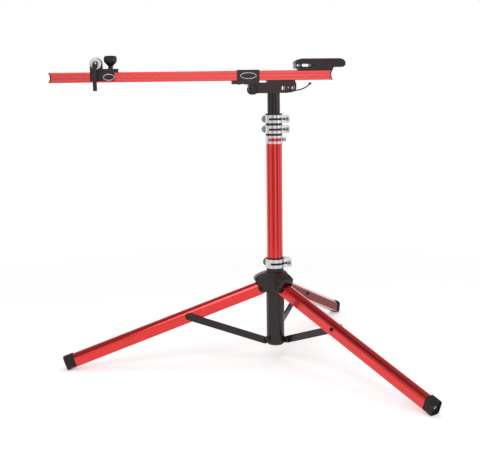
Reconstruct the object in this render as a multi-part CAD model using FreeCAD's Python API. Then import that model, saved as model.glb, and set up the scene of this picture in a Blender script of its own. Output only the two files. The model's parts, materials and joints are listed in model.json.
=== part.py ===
import FreeCAD, Part
import math
import os

V = FreeCAD.Vector

# Bicycle repair stand. Millimetres, Z up, origin on the floor under the column.
# X runs along the beam, with the cradle end towards +X and the fork clamp towards -X.
# Legs are drawn along +X and then turned to their azimuths about Z.

# ---- clearances -----------------------------------------------------------
GLUE = 0.05          # radial room in a fixed joint
RUN = 0.05           # radial room round a turning pin
SLIP = 0.10          # radial room between telescoping tubes
AIR = 0.30           # room between faces of pieces that move past each other

# ---- column ---------------------------------------------------------------
TUBE_R = 22.225      # red main tube
TUBE_WALL = 2.0
TUBE_TOP = 638.0
SLEEVE_R = 25.4      # black sleeve that slides on the main tube
FOOT_HUB_LOW = 45.0
FOOT_HUB_TOP = 75.0
FOOT_HUB_FLOOR = 7.0
FOOT_HUB_ROUND = 7.0
MAST_R = 17.45
MAST_WALL = 2.0
MAST_LOW = 118.0
GLIDE_HEIGHT = 16.0
PLUG_DEPTH = 15.0

# ---- neck, swivel and their two collars -----------------------------------
SWIVEL_WALL = 1.1
NECK_WALL = 1.45
NECK_DEPTH = 36.0
SWIVEL_TAIL = 4.0    # how far the swivel sleeve stands out below the neck
RIM_R = 23.0
RIM_HEIGHT = 6.0
COLLAR_R = 23.0
COLLAR_HEIGHT = 22.0
TOP_RIM_HEIGHT = 4.5
SLIT = 1.5

# ---- quick release collars ------------------------------------------------
EAR_HALF = 9.0       # half the depth of the two ears together
EAR_REACH = 20.5     # ear length outside the ring
EAR_BOLT_IN = 8.5    # bolt centre back from the end of the ear
EAR_CORNER = 6.0
SPLIT = 2.0
BAND_SLOT = 6.0      # height of the relief slot in front
BAND_SLOT_LEFT = 16.0
BOLT_R = 3.0
NUT_R = 5.5
NUT_THICK = 2.6
SOCKET_R = 2.2
LEVER_HUB_R = 7.5
LEVER_PIN_R = 2.5
LEVER_THICK = 3.2
LEVER_MARGIN = 1.0   # lever is this much lower than its collar at each edge
LEVER_TIP = 31.0
LEVER_BOW = 6.0      # back of the bow behind the ring
LEVER_END_Y = 20.0

# ---- stop ring ------------------------------------------------------------
STOP_R = 23.6
STOP_HEIGHT = 22.0
STOP_WINDOW = 8.5
STOP_WINDOW_HALF = 17.0
STOP_EAR = 33.5
STOP_EAR_HEIGHT = 13.0
STOP_EAR_HALF = 5.0
STOP_SCREW_R = 2.0

# ---- tripod hub -----------------------------------------------------------
LEG_AZIMUTHS = (180.0, 300.0, 60.0)
LEG_TILT = 19.4
LEG_PIVOT_R = 44.5
LEG_LENGTH = 581.5   # pivot to the outer end of the foot
LEG_WIDTH = 28.0
LEG_HEIGHT = 37.0
LEG_WALL = 2.0
LEG_CROWN = 9.5
LEG_RIDGE = 1.6
LEG_RIDGE_UP = 0.5
LEG_GROOVE = 1.6
LEG_GROOVE_DEEP = 0.9
LEG_GROOVE_DOWN = 1.2
LEG_CORNER = 3.0
LEG_ROOT_ROOM = 1.1  # between the round root end of a leg and the black sleeve
INSERT_LENGTH = 40.0
PIVOT_BOLT_R = 4.0
PIVOT_HEAD_R = 5.5
PIVOT_HEAD = 3.2
ARM_HALF = 20.0
ARM_END = 6.5        # arm end beyond the pivot, along the leg
ARM_DROP = 10.5      # arm below the leg's axis
ARM_RISE = 33.0      # arm above the leg's axis
ARM_ROUND = 4.0
HUB_ABOVE_PIVOT = 46.0
HUB_SHOULDER_R = 27.5
HUB_ROUND = 2.5
ROOM_ABOVE_PIVOT = 8.0
HUB_NECK_R = 24.0
HUB_NECK_GAP = 10.5   # neck left bare below the low collar
LOW_COLLAR_HEIGHT = 25.0
LOW_COLLAR_R = 26.2
HUB_RIM_HEIGHT = 4.0
HUB_RIM_R = 25.0
SLEEVE_IN_HUB = 40.0

# ---- feet and struts ------------------------------------------------------
FOOT_WALL = 1.4
FOOT_LENGTH = 29.0
FOOT_WEB = 3.0
FOOT_RECESS = 8.0
FOOT_LIP = 2.2         # wall round the open end
FOOT_LIP_ROUND = 1.2
FOOT_CORNER = 7.0
FOOT_TOP_CORNER = 11.0
SOLE_CUT = 0.8
STRUT_ON_LEG = 215.2     # strut pivot along the leg
STRUT_ROOT_R = 33.0
STRUT_ROOT_UP = 17.0     # above the underside of the bottom hub
STRUT_HALF = 10.0
STRUT_THICK = 6.0
STRUT_BOLT_R = 4.0
STRUT_EAR_HALF = 8.5
STRUT_EAR_THICK = 5.0
STUD_HEAD_R = 5.0
STUD_HEAD = 2.6

# ---- head, hinge and latch ------------------------------------------------
HEAD_LOW = 754.0
HEAD_HEIGHT = 29.0
HEAD_LEFT = -45.0
HEAD_RIGHT = 61.0
HEAD_HALF = 15.0
PAD_LEFT = -20.0
PAD_RIGHT = 58.0
PAD_HEIGHT = 5.2
SPIGOT_DEPTH = 30.0
HEAD_SCREW_R = 2.5
HINGE_X = -58.0
HINGE_UP = 10.0          # above the underside of the head
HINGE_R = 12.0
HINGE_PIN_R = 4.0
TONGUE_HALF = 7.7
WASHER_R = 13.6
WASHER_THICK = 1.2
CAP_THICK = 3.6
SLOT_HALF = 5.5
SLOT_LEFT = 19.5
LATCH_X = 38.6
LATCH_UP = 14.6
LATCH_CAM_R = 6.0
LATCH_PIN_R = 2.5
LATCH_HALF = 5.0
LATCH_BLADE = 3.2
LATCH_TIP_R = 3.5
TONGUE_PLATE = 3.0
TONGUE_DEPTH = 23.0

# ---- beam -----------------------------------------------------------------
BEAM_LEFT = -605.0
BEAM_RIGHT = 163.5
BEAM_HEIGHT = 27.0
BEAM_HALF = 14.0
BEAM_WALL = 2.2
BEAM_CROWN = 0.9         # bulge of the beam's sides at mid height
BEAM_GROOVE = 2.0
BEAM_GROOVE_DEEP = 1.2
BEAM_GROOVE_OFF = 5.0    # grooves above and below the middle
BEAM_MOUTH = 5.0         # hollow of the beam's curved ends
CAP_WALL = 3.2

# ---- saddle bracket -------------------------------------------------------
PLATE_LEFT = -116.0
PLATE_RIGHT = -41.0
PLATE_THICK = 9.0
SADDLE_LEFT = -102.0
SADDLE_WALL = 3.5
EAR_LEFT = -70.0
EAR_RIGHT = -46.0
SADDLE_SCREW_R = 1.4
SADDLE_SCREW_IN = 7.0    # first pair of screws, from the end of the clamp
SADDLE_SCREW_OFF = 6.0   # second pair, clear of the hinge ears
BADGE_LONG = 22.0
BADGE_SHORT = 8.5
BADGE_UP = 0.6

# ---- fork clamp -----------------------------------------------------------
CLAMP_LEFT = -495.0
CLAMP_RIGHT = -431.0
CLAMP_PLATE_RIGHT = -420.0
CLAMP_WALL = 4.2
CLAMP_TOP = 8.5
POST_R = 17.0
POST_HALF = 12.0
CLAMP_SHORT = 3.5        # beam left bare below the clamp
AXLE_UP = 21.3           # axle above the top of the beam
AXLE_R = 9.0
AXLE_HALF = 46.0
CUP_R = 14.5
CUP_THICK = 5.5
STUB_R = 4.5
STUB = 5.5
SKEWER_R = 2.5
SKEWER_RING_R = 7.5
SKEWER_RING = 3.5
SKEWER_CAM_R = 5.5
SKEWER_WIDTH = 10.5
SKEWER_LEVER = 71.0
SKEWER_SHIFT = 3.3       # blade's middle left of the axle
SKEWER_ROOT = 12.0
SKEWER_THICK = 4.6
SKEWER_NUT_R = 9.0
SKEWER_NUT = 11.0
KNOB_X = -440.5
KNOB_R = 17.5
KNOB_HEIGHT = 15.5
KNOB_TAPER = 11.0
KNOB_ROUND = 6.0
KNOB_NECK = 7.7
KNOB_NECK_R = 6.5
KNOB_FLUTES = 8
KNOB_FLUTE_R = 4.0
KNOB_SCREW_R = 4.0
SHOE_R = 6.8
SHOE_THICK = 2.2

# ---- cradle ---------------------------------------------------------------
CRADLE_LEFT = 56.0
CRADLE_SEAT_LEFT = 70.0
CRADLE_SEAT_RIGHT = 161.0
CRADLE_RIGHT = 197.0
CRADLE_HEIGHT = 31.0
CRADLE_HALF = 20.0
CRADLE_TROUGH_R = 18.0
CRADLE_TROUGH_DEEP = 11.0
CRADLE_PAD = 2.5
CRADLE_PAD_LEFT = 24.0   # lining in from the cradle's left end
CRADLE_PAD_RIGHT = 19.0  # lining in from the cradle's right end
CRADLE_PAD_DOWN = 1.5    # lining below the cradle's top
CRADLE_WINDOWS = ((5.5, 17.0, 9.5, 16.5), (19.5, 45.0, 9.0, 17.0))
CRADLE_POCKET = (47.5, 56.5, 9.0, 16.0)  # left, right, low and high, as the windows
CRADLE_POCKET_DEEP = 4.0
CRADLE_BOSS_IN = 13.0
CRADLE_BOSS_UP = 18.3
CRADLE_BOSS_PROUD = 1.5
CRADLE_BOLT_LEFT = 46.0  # in from the seat's left end
CRADLE_BOLT_RIGHT = 15.0  # in from the seat's right end
CRADLE_SINK = 4.0        # bolt seats below the trough
CRADLE_BOSS_R = 9.0
CRADLE_BOLT_R = 3.0

# ---- worked out -----------------------------------------------------------
tube_in = TUBE_R - TUBE_WALL
sleeve_in = TUBE_R + SLIP
foot_half = LEG_HEIGHT / 2 + FOOT_WALL
root_r = LEG_PIVOT_R - SLEEVE_R - LEG_ROOT_ROOM
tilt = math.radians(LEG_TILT)
pivot_z = LEG_LENGTH * math.sin(tilt) + foot_half * math.cos(tilt) - SOLE_CUT
hub_low = pivot_z - ARM_END * math.sin(tilt) - ARM_DROP * math.cos(tilt)
hub_top = pivot_z + HUB_ABOVE_PIVOT
low_collar_z = hub_top + HUB_NECK_GAP
low_rim_z = low_collar_z + LOW_COLLAR_HEIGHT
mast_in = MAST_R - MAST_WALL
swivel_in = MAST_R + RUN
swivel_out = swivel_in + SWIVEL_WALL
neck_in = swivel_out + RUN
neck_out = neck_in + NECK_WALL
mid_collar_z = TUBE_TOP + RIM_HEIGHT
neck_top = mid_collar_z + COLLAR_HEIGHT
swivel_rim_z = neck_top + AIR
top_collar_z = swivel_rim_z + RIM_HEIGHT
top_rim_z = top_collar_z + COLLAR_HEIGHT
stop_z = TUBE_TOP - STOP_HEIGHT
strut_root_z = FOOT_HUB_LOW + STRUT_ROOT_UP
strut_side = LEG_WIDTH / 2 + AIR
beam_low = HEAD_LOW + HEAD_HEIGHT + PAD_HEIGHT
beam_mid = beam_low + BEAM_HEIGHT / 2
beam_top = beam_low + BEAM_HEIGHT
hinge_z = HEAD_LOW + HINGE_UP
latch_z = HEAD_LOW + LATCH_UP
axle_z = beam_top + AXLE_UP
axle_x = CLAMP_LEFT + POST_R
clamp_low = beam_low + CLAMP_SHORT
clamp_in = BEAM_HALF + AIR
plate_low = beam_top + AIR
plate_top = plate_low + CLAMP_TOP
knob_z = plate_top + AIR


# ---- small helpers --------------------------------------------------------
def box(x0, x1, y0, y1, z0, z1):
    return Part.makeBox(x1 - x0, y1 - y0, z1 - z0, V(x0, y0, z0))


def disc(r, z0, z1, x=0.0, y=0.0):
    return Part.makeCylinder(r, z1 - z0, V(x, y, z0))


def pipe(r_out, r_in, z0, z1):
    return disc(r_out, z0, z1).cut(disc(r_in, z0 - 1, z1 + 1))


def rod_y(r, y0, y1, x, z):
    return Part.makeCylinder(r, y1 - y0, V(x, y0, z), V(0, 1, 0))


def rod_x(r, x0, x1, y, z):
    return Part.makeCylinder(r, x1 - x0, V(x0, y, z), V(1, 0, 0))


def side_plate(points, y0, y1):
    """A flat outline in X and Z, given thickness along Y."""
    corners = [V(x, y0, z) for x, z in points]
    face = Part.Face(Part.makePolygon(corners + corners[:1]))
    return face.extrude(V(0, y1 - y0, 0))


def end_bar(points, x0, x1):
    """A flat outline in Y and Z, given length along X."""
    corners = [V(x0, y, z) for y, z in points]
    face = Part.Face(Part.makePolygon(corners + corners[:1]))
    return face.extrude(V(x1 - x0, 0, 0))


def oval(x, z, along, up, y0, y1):
    """An elliptical slab, its faces at y0 and y1."""
    edge = Part.Ellipse(V(0, 0, 0), along, up).toShape()
    edge.rotate(V(0, 0, 0), V(1, 0, 0), 90)
    edge.translate(V(x, y0, z))
    return Part.Face(Part.Wire(edge)).extrude(V(0, y1 - y0, 0))


def slot_y(x0, x1, z0, z1, y0, y1):
    """A lying slot with round ends, cut along Y."""
    r = (z1 - z0) / 2
    mid = (z0 + z1) / 2
    bar = box(x0 + r, x1 - r, y0, y1, z0, z1)
    return bar.fuse([rod_y(r, y0, y1, x0 + r, mid), rod_y(r, y0, y1, x1 - r, mid)])


def rounded(shape, radius, choose):
    edges = [e for e in shape.Edges if choose(e)]
    return shape.makeFillet(radius, edges)


def runs_along(edge, axis):
    if not isinstance(edge.Curve, Part.Line):
        return False
    return abs(edge.tangentAt(edge.FirstParameter).dot(axis)) > 0.999


def turned(shape, azimuth):
    out = shape.copy()
    out.rotate(V(0, 0, 0), V(0, 0, 1), azimuth)
    return out


def on_leg(shape, azimuth):
    """From the leg's own frame, pivot at the origin and axis along +X, to its place."""
    out = shape.copy()
    out.rotate(V(0, 0, 0), V(0, 1, 0), LEG_TILT)
    out.translate(V(LEG_PIVOT_R, 0, pivot_z))
    return turned(out, azimuth)


def all_turned(shape):
    return Part.makeCompound([turned(shape, a) for a in LEG_AZIMUTHS])


def save(shape, node):
    clean = shape.removeSplitter() if len(shape.Solids) == 1 else shape
    clean.exportStep("parts/" + node + ".step")


# ---- column ---------------------------------------------------------------
def main_tube():
    return pipe(TUBE_R, tube_in, FOOT_HUB_LOW + FOOT_HUB_FLOOR, TUBE_TOP)


def bottom_hub():
    cup = disc(SLEEVE_R, FOOT_HUB_LOW, FOOT_HUB_TOP)
    cup = rounded(cup, FOOT_HUB_ROUND, lambda e: e.BoundBox.ZMax < FOOT_HUB_LOW + 0.1)
    outer = strut_side - AIR
    ear = box(0, STRUT_ROOT_R, outer - STRUT_EAR_THICK, outer,
              strut_root_z - STRUT_EAR_HALF, strut_root_z + STRUT_EAR_HALF)
    ear = ear.fuse(rod_y(STRUT_EAR_HALF, outer - STRUT_EAR_THICK, outer, STRUT_ROOT_R, strut_root_z))
    hole = rod_y(STRUT_BOLT_R + GLUE, 0, SLEEVE_R, STRUT_ROOT_R, strut_root_z)
    for azimuth in LEG_AZIMUTHS:
        cup = cup.fuse(turned(ear, azimuth))
    for azimuth in LEG_AZIMUTHS:
        cup = cup.cut(turned(hole, azimuth))
    socket = disc(TUBE_R + GLUE, FOOT_HUB_LOW + FOOT_HUB_FLOOR, FOOT_HUB_TOP + 1)
    return cup.cut(socket)


def strut_root_bolt():
    low = strut_side - AIR - STRUT_EAR_THICK
    high = strut_side + STRUT_THICK + AIR
    shank = rod_y(STRUT_BOLT_R, low, high, STRUT_ROOT_R, strut_root_z)
    head = rod_y(STUD_HEAD_R, high, high + STUD_HEAD, STRUT_ROOT_R, strut_root_z)
    socket = rod_y(SOCKET_R, high + STUD_HEAD / 2, high + 2 * STUD_HEAD, STRUT_ROOT_R, strut_root_z)
    return shank.fuse(head).cut(socket)


def neck_sleeve():
    body = disc(tube_in - GLUE, TUBE_TOP - NECK_DEPTH, TUBE_TOP)
    body = body.fuse(disc(RIM_R, TUBE_TOP, mid_collar_z))
    body = body.fuse(disc(neck_out, mid_collar_z, neck_top))
    body = body.cut(disc(neck_in, 0, neck_top + 1))
    return body.cut(box(0, RIM_R + 1, -SLIT / 2, SLIT / 2, mid_collar_z, neck_top + 1))


def stop_ring():
    ring = pipe(STOP_R, TUBE_R + GLUE, stop_z, TUBE_TOP)
    middle = stop_z + STOP_HEIGHT / 2
    ring = ring.cut(box(-STOP_WINDOW_HALF, STOP_WINDOW_HALF, -STOP_R - 1, 0,
                        middle - STOP_WINDOW / 2, middle + STOP_WINDOW / 2))
    ear = box(TUBE_R, STOP_EAR, -STOP_EAR_HALF, STOP_EAR_HALF,
              middle - STOP_EAR_HEIGHT / 2, middle + STOP_EAR_HEIGHT / 2)
    ring = ring.fuse(ear.cut(disc(TUBE_R + GLUE, 0, TUBE_TOP)))
    ring = ring.cut(box(TUBE_R - 1, STOP_EAR + 1, -SPLIT / 2, SPLIT / 2, stop_z - 1, TUBE_TOP + 1))
    return ring.cut(rod_y(STOP_SCREW_R + GLUE, -STOP_R, STOP_R, STOP_EAR - STOP_EAR_HALF, middle))


def stop_ring_screw():
    middle = stop_z + STOP_HEIGHT / 2
    x = STOP_EAR - STOP_EAR_HALF
    shank = rod_y(STOP_SCREW_R, -STOP_EAR_HALF, STOP_EAR_HALF, x, middle)
    head = rod_y(2 * STOP_SCREW_R, -STOP_EAR_HALF - 2 * STOP_SCREW_R, -STOP_EAR_HALF, x, middle)
    return shank.fuse(head).cut(rod_y(STOP_SCREW_R / 2, -STOP_R, -STOP_EAR_HALF - STOP_SCREW_R, x, middle))


# ---- quick release collars ------------------------------------------------
def collar_places(r_out, z0, height):
    """Bolt centre, lever pivot and middle height of one collar."""
    bolt_x = r_out + EAR_REACH - EAR_BOLT_IN
    return bolt_x, EAR_HALF + AIR + LEVER_HUB_R, z0 + height / 2


def collar_ring(r_in, r_out, z0, height):
    bolt_x, pivot_y, middle = collar_places(r_out, z0, height)
    end = r_out + EAR_REACH
    ears = box(0, end, -EAR_HALF, EAR_HALF, z0, z0 + height)
    ears = rounded(ears, EAR_HALF / 2, lambda e: runs_along(e, V(0, 0, 1)) and e.BoundBox.XMin > end - 1)
    side = box(0, end, -2 * EAR_HALF, 2 * EAR_HALF, z0, z0 + height)
    side = rounded(side, EAR_CORNER, lambda e: runs_along(e, V(0, 1, 0)) and e.BoundBox.XMin > end - 1)
    ears = ears.common(side)
    ring = disc(r_out, z0, z0 + height).fuse(ears)
    ring = ring.cut(disc(r_in, z0 - 1, z0 + height + 1))
    ring = ring.cut(box(r_in - 1, end + 1, -SPLIT / 2, SPLIT / 2, z0 - 1, z0 + height + 1))
    ring = ring.cut(box(-BAND_SLOT_LEFT, bolt_x - NUT_R / 2, -r_out - 1, -SPLIT / 2,
                        middle - BAND_SLOT / 2, middle + BAND_SLOT / 2))
    return ring.cut(rod_y(BOLT_R + GLUE, -r_out, r_out, bolt_x, middle))


def collar_bolt(r_out, z0, height):
    bolt_x, pivot_y, middle = collar_places(r_out, z0, height)
    shank = rod_y(BOLT_R, -EAR_HALF, pivot_y, bolt_x, middle)
    nut = rod_y(NUT_R, -EAR_HALF - NUT_THICK, -EAR_HALF, bolt_x, middle)
    nut = nut.cut(rod_y(SOCKET_R, -EAR_HALF - 2 * NUT_THICK, -EAR_HALF - NUT_THICK / 3, bolt_x, middle))
    pin = disc(LEVER_PIN_R, z0 + LEVER_MARGIN, z0 + height - LEVER_MARGIN, bolt_x, pivot_y)
    return shank.fuse([nut, pin])


def collar_lever(r_out, z0, height):
    bolt_x, pivot_y, middle = collar_places(r_out, z0, height)
    low = z0 + LEVER_MARGIN
    high = z0 + height - LEVER_MARGIN
    start = V(bolt_x, pivot_y + LEVER_HUB_R - LEVER_THICK, low)
    crest = V(0, r_out + LEVER_BOW, low)
    tip = V(-LEVER_TIP, LEVER_END_Y, low)
    inner = Part.Arc(start, crest, tip)
    out = V(0, LEVER_THICK, 0)
    outer = Part.Arc(start + out, crest + out, tip + out)
    outline = Part.Wire([inner.toShape(), Part.makeLine(tip, tip + out),
                         outer.toShape(), Part.makeLine(start + out, start)])
    blade = Part.Face(outline).extrude(V(0, 0, high - low))
    tip_r = (high - low) / 2
    profile = box(tip_r - LEVER_TIP, 2 * LEVER_TIP, 0, 2 * LEVER_TIP, low, high)
    profile = profile.fuse(rod_y(tip_r, 0, 2 * LEVER_TIP, tip_r - LEVER_TIP, middle))
    hub = disc(LEVER_HUB_R, low, high, bolt_x, pivot_y)
    lever = blade.common(profile).fuse(hub)
    fork = disc(LEVER_HUB_R + 1.5, middle - BOLT_R - AIR, middle + BOLT_R + AIR, bolt_x, pivot_y)
    return lever.cut(fork).cut(disc(LEVER_PIN_R + RUN, low - 1, high + 1, bolt_x, pivot_y))


# ---- swivel and mast ------------------------------------------------------
def swivel_sleeve():
    low = TUBE_TOP - NECK_DEPTH - SWIVEL_TAIL
    body = disc(swivel_out, low, swivel_rim_z)
    body = body.fuse(disc(RIM_R, swivel_rim_z, top_collar_z))
    body = body.fuse(disc(neck_out, top_collar_z, top_rim_z))
    body = body.fuse(disc(RIM_R, top_rim_z, top_rim_z + TOP_RIM_HEIGHT))
    body = body.cut(disc(swivel_in, low - 1, top_rim_z + TOP_RIM_HEIGHT + 1))
    return body.cut(box(0, RIM_R + 1, -SLIT / 2, SLIT / 2, top_collar_z, top_rim_z + TOP_RIM_HEIGHT + 1))


def mast_tube():
    tube = pipe(MAST_R, mast_in, MAST_LOW, HEAD_LOW)
    z = HEAD_LOW - SPIGOT_DEPTH / 2
    return tube.cut(rod_x(HEAD_SCREW_R + GLUE, -MAST_R - 1, MAST_R + 1, 0, z))


def mast_glide():
    ring = disc(tube_in - SLIP, MAST_LOW - GLIDE_HEIGHT, MAST_LOW)
    plug = disc(mast_in - GLUE, MAST_LOW, MAST_LOW + PLUG_DEPTH)
    return ring.fuse(plug).cut(disc(mast_in / 2, 0, MAST_LOW + PLUG_DEPTH + 1))


def head_screws():
    z = HEAD_LOW - SPIGOT_DEPTH / 2
    right = rod_x(HEAD_SCREW_R, mast_in / 2, MAST_R, 0, z)
    left = rod_x(HEAD_SCREW_R, -MAST_R, -mast_in / 2, 0, z)
    flush = disc(MAST_R, z - MAST_R, z + MAST_R)
    return Part.makeCompound([right.common(flush), left.common(flush)])


def head_body():
    top = HEAD_LOW + HEAD_HEIGHT
    under = beam_low - PLATE_THICK - AIR
    outline = [(HEAD_LEFT, HEAD_LOW), (HEAD_RIGHT - 26, HEAD_LOW), (HEAD_RIGHT - 12, HEAD_LOW + 1.8),
               (HEAD_RIGHT - 4, HEAD_LOW + 5.5), (HEAD_RIGHT, HEAD_LOW + 11), (HEAD_RIGHT, top - 2),
               (HEAD_RIGHT - 2, top), (PAD_RIGHT, top), (PAD_RIGHT, beam_low), (PAD_LEFT, beam_low),
               (PAD_LEFT, top), (PLATE_RIGHT + AIR, top), (PLATE_RIGHT + AIR, under), (HEAD_LEFT, under)]
    body = side_plate(outline, -HEAD_HALF, HEAD_HALF)
    tongue = box(HINGE_X, HEAD_LEFT, -TONGUE_HALF, TONGUE_HALF, HEAD_LOW, hinge_z + HINGE_R - AIR)
    eye = rod_y(HINGE_R - AIR, -TONGUE_HALF, TONGUE_HALF, HINGE_X, hinge_z)
    lowest = hinge_z - HINGE_R + AIR
    web = box(HINGE_X, HEAD_LEFT, -TONGUE_HALF, TONGUE_HALF, lowest, HEAD_LOW)
    web = web.common(rod_y(HEAD_LEFT - HINGE_X, -TONGUE_HALF, TONGUE_HALF, HINGE_X, hinge_z))
    body = body.fuse([tongue, eye, web])
    body = body.fuse(disc(mast_in - GLUE, HEAD_LOW - SPIGOT_DEPTH, HEAD_LOW))
    body = body.cut(box(SLOT_LEFT, HEAD_RIGHT + 1, -SLOT_HALF, SLOT_HALF, HEAD_LOW - 1, beam_low + 1))
    body = body.cut(rod_y(HINGE_PIN_R + GLUE, -HEAD_HALF, HEAD_HALF, HINGE_X, hinge_z))
    body = body.cut(rod_y(LATCH_PIN_R + GLUE, -HEAD_HALF - 1, HEAD_HALF + 1, LATCH_X, latch_z))
    wide = HEAD_HALF + 1
    window_z = HEAD_LOW + 8.0
    window = box(LATCH_X - 18.0, LATCH_X - 9.6, -wide, wide, window_z, window_z + 11.0)
    window = rounded(window, 2.5, lambda e: runs_along(e, V(0, 1, 0)))
    tilted = oval(LATCH_X + 13.4, window_z + 6.2, 5.6, 3.6, -wide, wide)
    tilted.rotate(V(LATCH_X + 13.4, 0, window_z + 6.2), V(0, 1, 0), -68)
    body = body.cut(window.fuse(tilted))
    screw_z = HEAD_LOW - SPIGOT_DEPTH / 2
    return body.cut(rod_x(HEAD_SCREW_R + GLUE, -MAST_R, MAST_R, 0, screw_z))


def hinge_pin():
    face = HEAD_HALF + AIR + WASHER_THICK
    pin = rod_y(HINGE_PIN_R, -face, face, HINGE_X, hinge_z)
    front = rod_y(HINGE_R, -face - CAP_THICK, -face, HINGE_X, hinge_z)
    front = rounded(front, 1.0, lambda e: e.BoundBox.YMax < -face - CAP_THICK + 0.1)
    back = rod_y(HINGE_R, face, face + CAP_THICK, HINGE_X, hinge_z)
    back = rounded(back, 1.0, lambda e: e.BoundBox.YMin > face + CAP_THICK - 0.1)
    return pin.fuse([front, back])


def hinge_washers():
    near = rod_y(WASHER_R, -HEAD_HALF - AIR - WASHER_THICK, -HEAD_HALF - AIR, HINGE_X, hinge_z)
    far = rod_y(WASHER_R, HEAD_HALF + AIR, HEAD_HALF + AIR + WASHER_THICK, HINGE_X, hinge_z)
    hole = rod_y(HINGE_PIN_R + GLUE, -2 * HEAD_HALF, 2 * HEAD_HALF, HINGE_X, hinge_z)
    return Part.makeCompound([near.cut(hole), far.cut(hole)])


def latch_pin():
    return rod_y(LATCH_PIN_R, -HEAD_HALF - 0.6, HEAD_HALF + 0.6, LATCH_X, latch_z)


def latch_lever():
    """A cam between the head's cheeks, with a thin handle that curves up to a round tip."""
    hub = rod_y(LATCH_CAM_R, -LATCH_HALF, LATCH_HALF, LATCH_X, latch_z)
    path = [(0.0, -LATCH_CAM_R), (10.0, -11.4), (23.4, -10.0), (44.4, -4.4), (61.4, 6.8)]
    low = [V(LATCH_X + x, -LATCH_HALF, latch_z + z) for x, z in path]
    curve = Part.BSplineCurve()
    curve.interpolate(low)
    upper = Part.BSplineCurve()
    upper.interpolate([p + V(-0.5, 0, LATCH_BLADE) for p in low])
    first = curve.toShape()
    second = upper.toShape()
    sides = [first, Part.makeLine(low[-1], upper.EndPoint), second, Part.makeLine(upper.StartPoint, low[0])]
    blade = Part.Face(Part.Wire(sides)).extrude(V(0, 2 * LATCH_HALF, 0))
    root = side_plate([(LATCH_X - 4, latch_z), (LATCH_X + 5, latch_z - 2),
                       (LATCH_X + 14, latch_z - 11.6 + LATCH_BLADE), (LATCH_X + 10, latch_z - 11.4),
                       (LATCH_X, latch_z - LATCH_CAM_R)], -LATCH_HALF, LATCH_HALF)
    tip = rod_y(LATCH_TIP_R, -LATCH_HALF, LATCH_HALF, LATCH_X + 62.6, latch_z + 10.2)
    lever = hub.fuse([root, blade, tip])
    return lever.cut(rod_y(LATCH_PIN_R + RUN, -2 * LATCH_HALF, 2 * LATCH_HALF, LATCH_X, latch_z))


# ---- tripod ---------------------------------------------------------------
def arm_profile():
    """Side outline of one arm, from inside the hub's core out to the end face."""
    along = V(math.cos(tilt), 0, -math.sin(tilt))
    up = V(math.sin(tilt), 0, math.cos(tilt))
    pivot = V(LEG_PIVOT_R, 0, pivot_z)
    low = pivot + along * ARM_END - up * ARM_DROP
    brow = pivot + along * ARM_END + up * ARM_RISE
    shoulder = V(HUB_SHOULDER_R - 1, 0, hub_top)
    mid = (brow + shoulder) * 0.5 + V(0.5, 0, 2.6)
    inner = HUB_SHOULDER_R / 2
    axis_low = V(inner, 0, low.z)
    axis_top = V(inner, 0, hub_top)
    edges = [Part.makeLine(axis_low, low), Part.makeLine(low, brow), Part.Arc(brow, mid, shoulder).toShape(),
             Part.makeLine(shoulder, axis_top), Part.makeLine(axis_top, axis_low)]
    return Part.Face(Part.Wire(edges))


def leg_room():
    """The space that a leg and its swing need inside the hub, in the plane of the arm."""
    half = LEG_WIDTH / 2 + AIR
    reach = LEG_HEIGHT / 2 + AIR
    along = V(math.cos(tilt), 0, -math.sin(tilt))
    up = V(math.sin(tilt), 0, math.cos(tilt))
    pivot = V(LEG_PIVOT_R, -half, pivot_z)
    far = 2 * LEG_PIVOT_R
    top = pivot + up * reach
    out = top + along * far
    inner = SLEEVE_R - 1
    corners = [top, out, V(out.x, -half, 0), V(inner, -half, 0),
               V(inner, -half, pivot_z + ROOM_ABOVE_PIVOT), pivot]
    face = Part.Face(Part.makePolygon(corners + corners[:1]))
    return face.extrude(V(0, 2 * half, 0)).fuse(rod_y(root_r + AIR, -half, half, LEG_PIVOT_R, pivot_z))


def tripod_hub():
    arm = arm_profile().extrude(V(0, 2 * ARM_HALF, 0))
    arm.translate(V(0, -ARM_HALF, 0))
    arm = rounded(arm, ARM_ROUND, lambda e: e.BoundBox.XMax > HUB_SHOULDER_R + 1 and e.BoundBox.ZMax > hub_low + 1)
    body = disc(HUB_SHOULDER_R, hub_low, hub_top)
    body = rounded(body, HUB_ROUND, lambda e: e.BoundBox.ZMin > hub_top - 0.1)
    for azimuth in LEG_AZIMUTHS:
        body = body.fuse(turned(arm, azimuth))
    room = leg_room()
    hole = rod_y(PIVOT_BOLT_R + GLUE, -2 * ARM_HALF, 2 * ARM_HALF, LEG_PIVOT_R, pivot_z)
    near = rod_y(PIVOT_HEAD_R + AIR, ARM_HALF - PIVOT_HEAD - 0.5, 2 * ARM_HALF, LEG_PIVOT_R, pivot_z)
    far = rod_y(PIVOT_HEAD_R + AIR, -2 * ARM_HALF, -ARM_HALF + PIVOT_HEAD + 0.5, LEG_PIVOT_R, pivot_z)
    for azimuth in LEG_AZIMUTHS:
        for tool in (room, hole, near, far):
            body = body.cut(turned(tool, azimuth))
    body = body.fuse(disc(HUB_NECK_R, hub_top - 1, low_rim_z))
    body = body.fuse(disc(HUB_RIM_R, low_rim_z, low_rim_z + HUB_RIM_HEIGHT))
    body = body.cut(disc(sleeve_in, hub_low - 1, low_rim_z + HUB_RIM_HEIGHT + 1))
    body = body.cut(disc(SLEEVE_R + GLUE, hub_low - 1, hub_low + SLEEVE_IN_HUB))
    return body.cut(box(0, HUB_RIM_R + 1, -SLIT / 2, SLIT / 2, low_collar_z, low_rim_z + HUB_RIM_HEIGHT + 1))


def hub_sleeve():
    return pipe(SLEEVE_R, sleeve_in, FOOT_HUB_TOP, hub_low + SLEEVE_IN_HUB)


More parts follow.
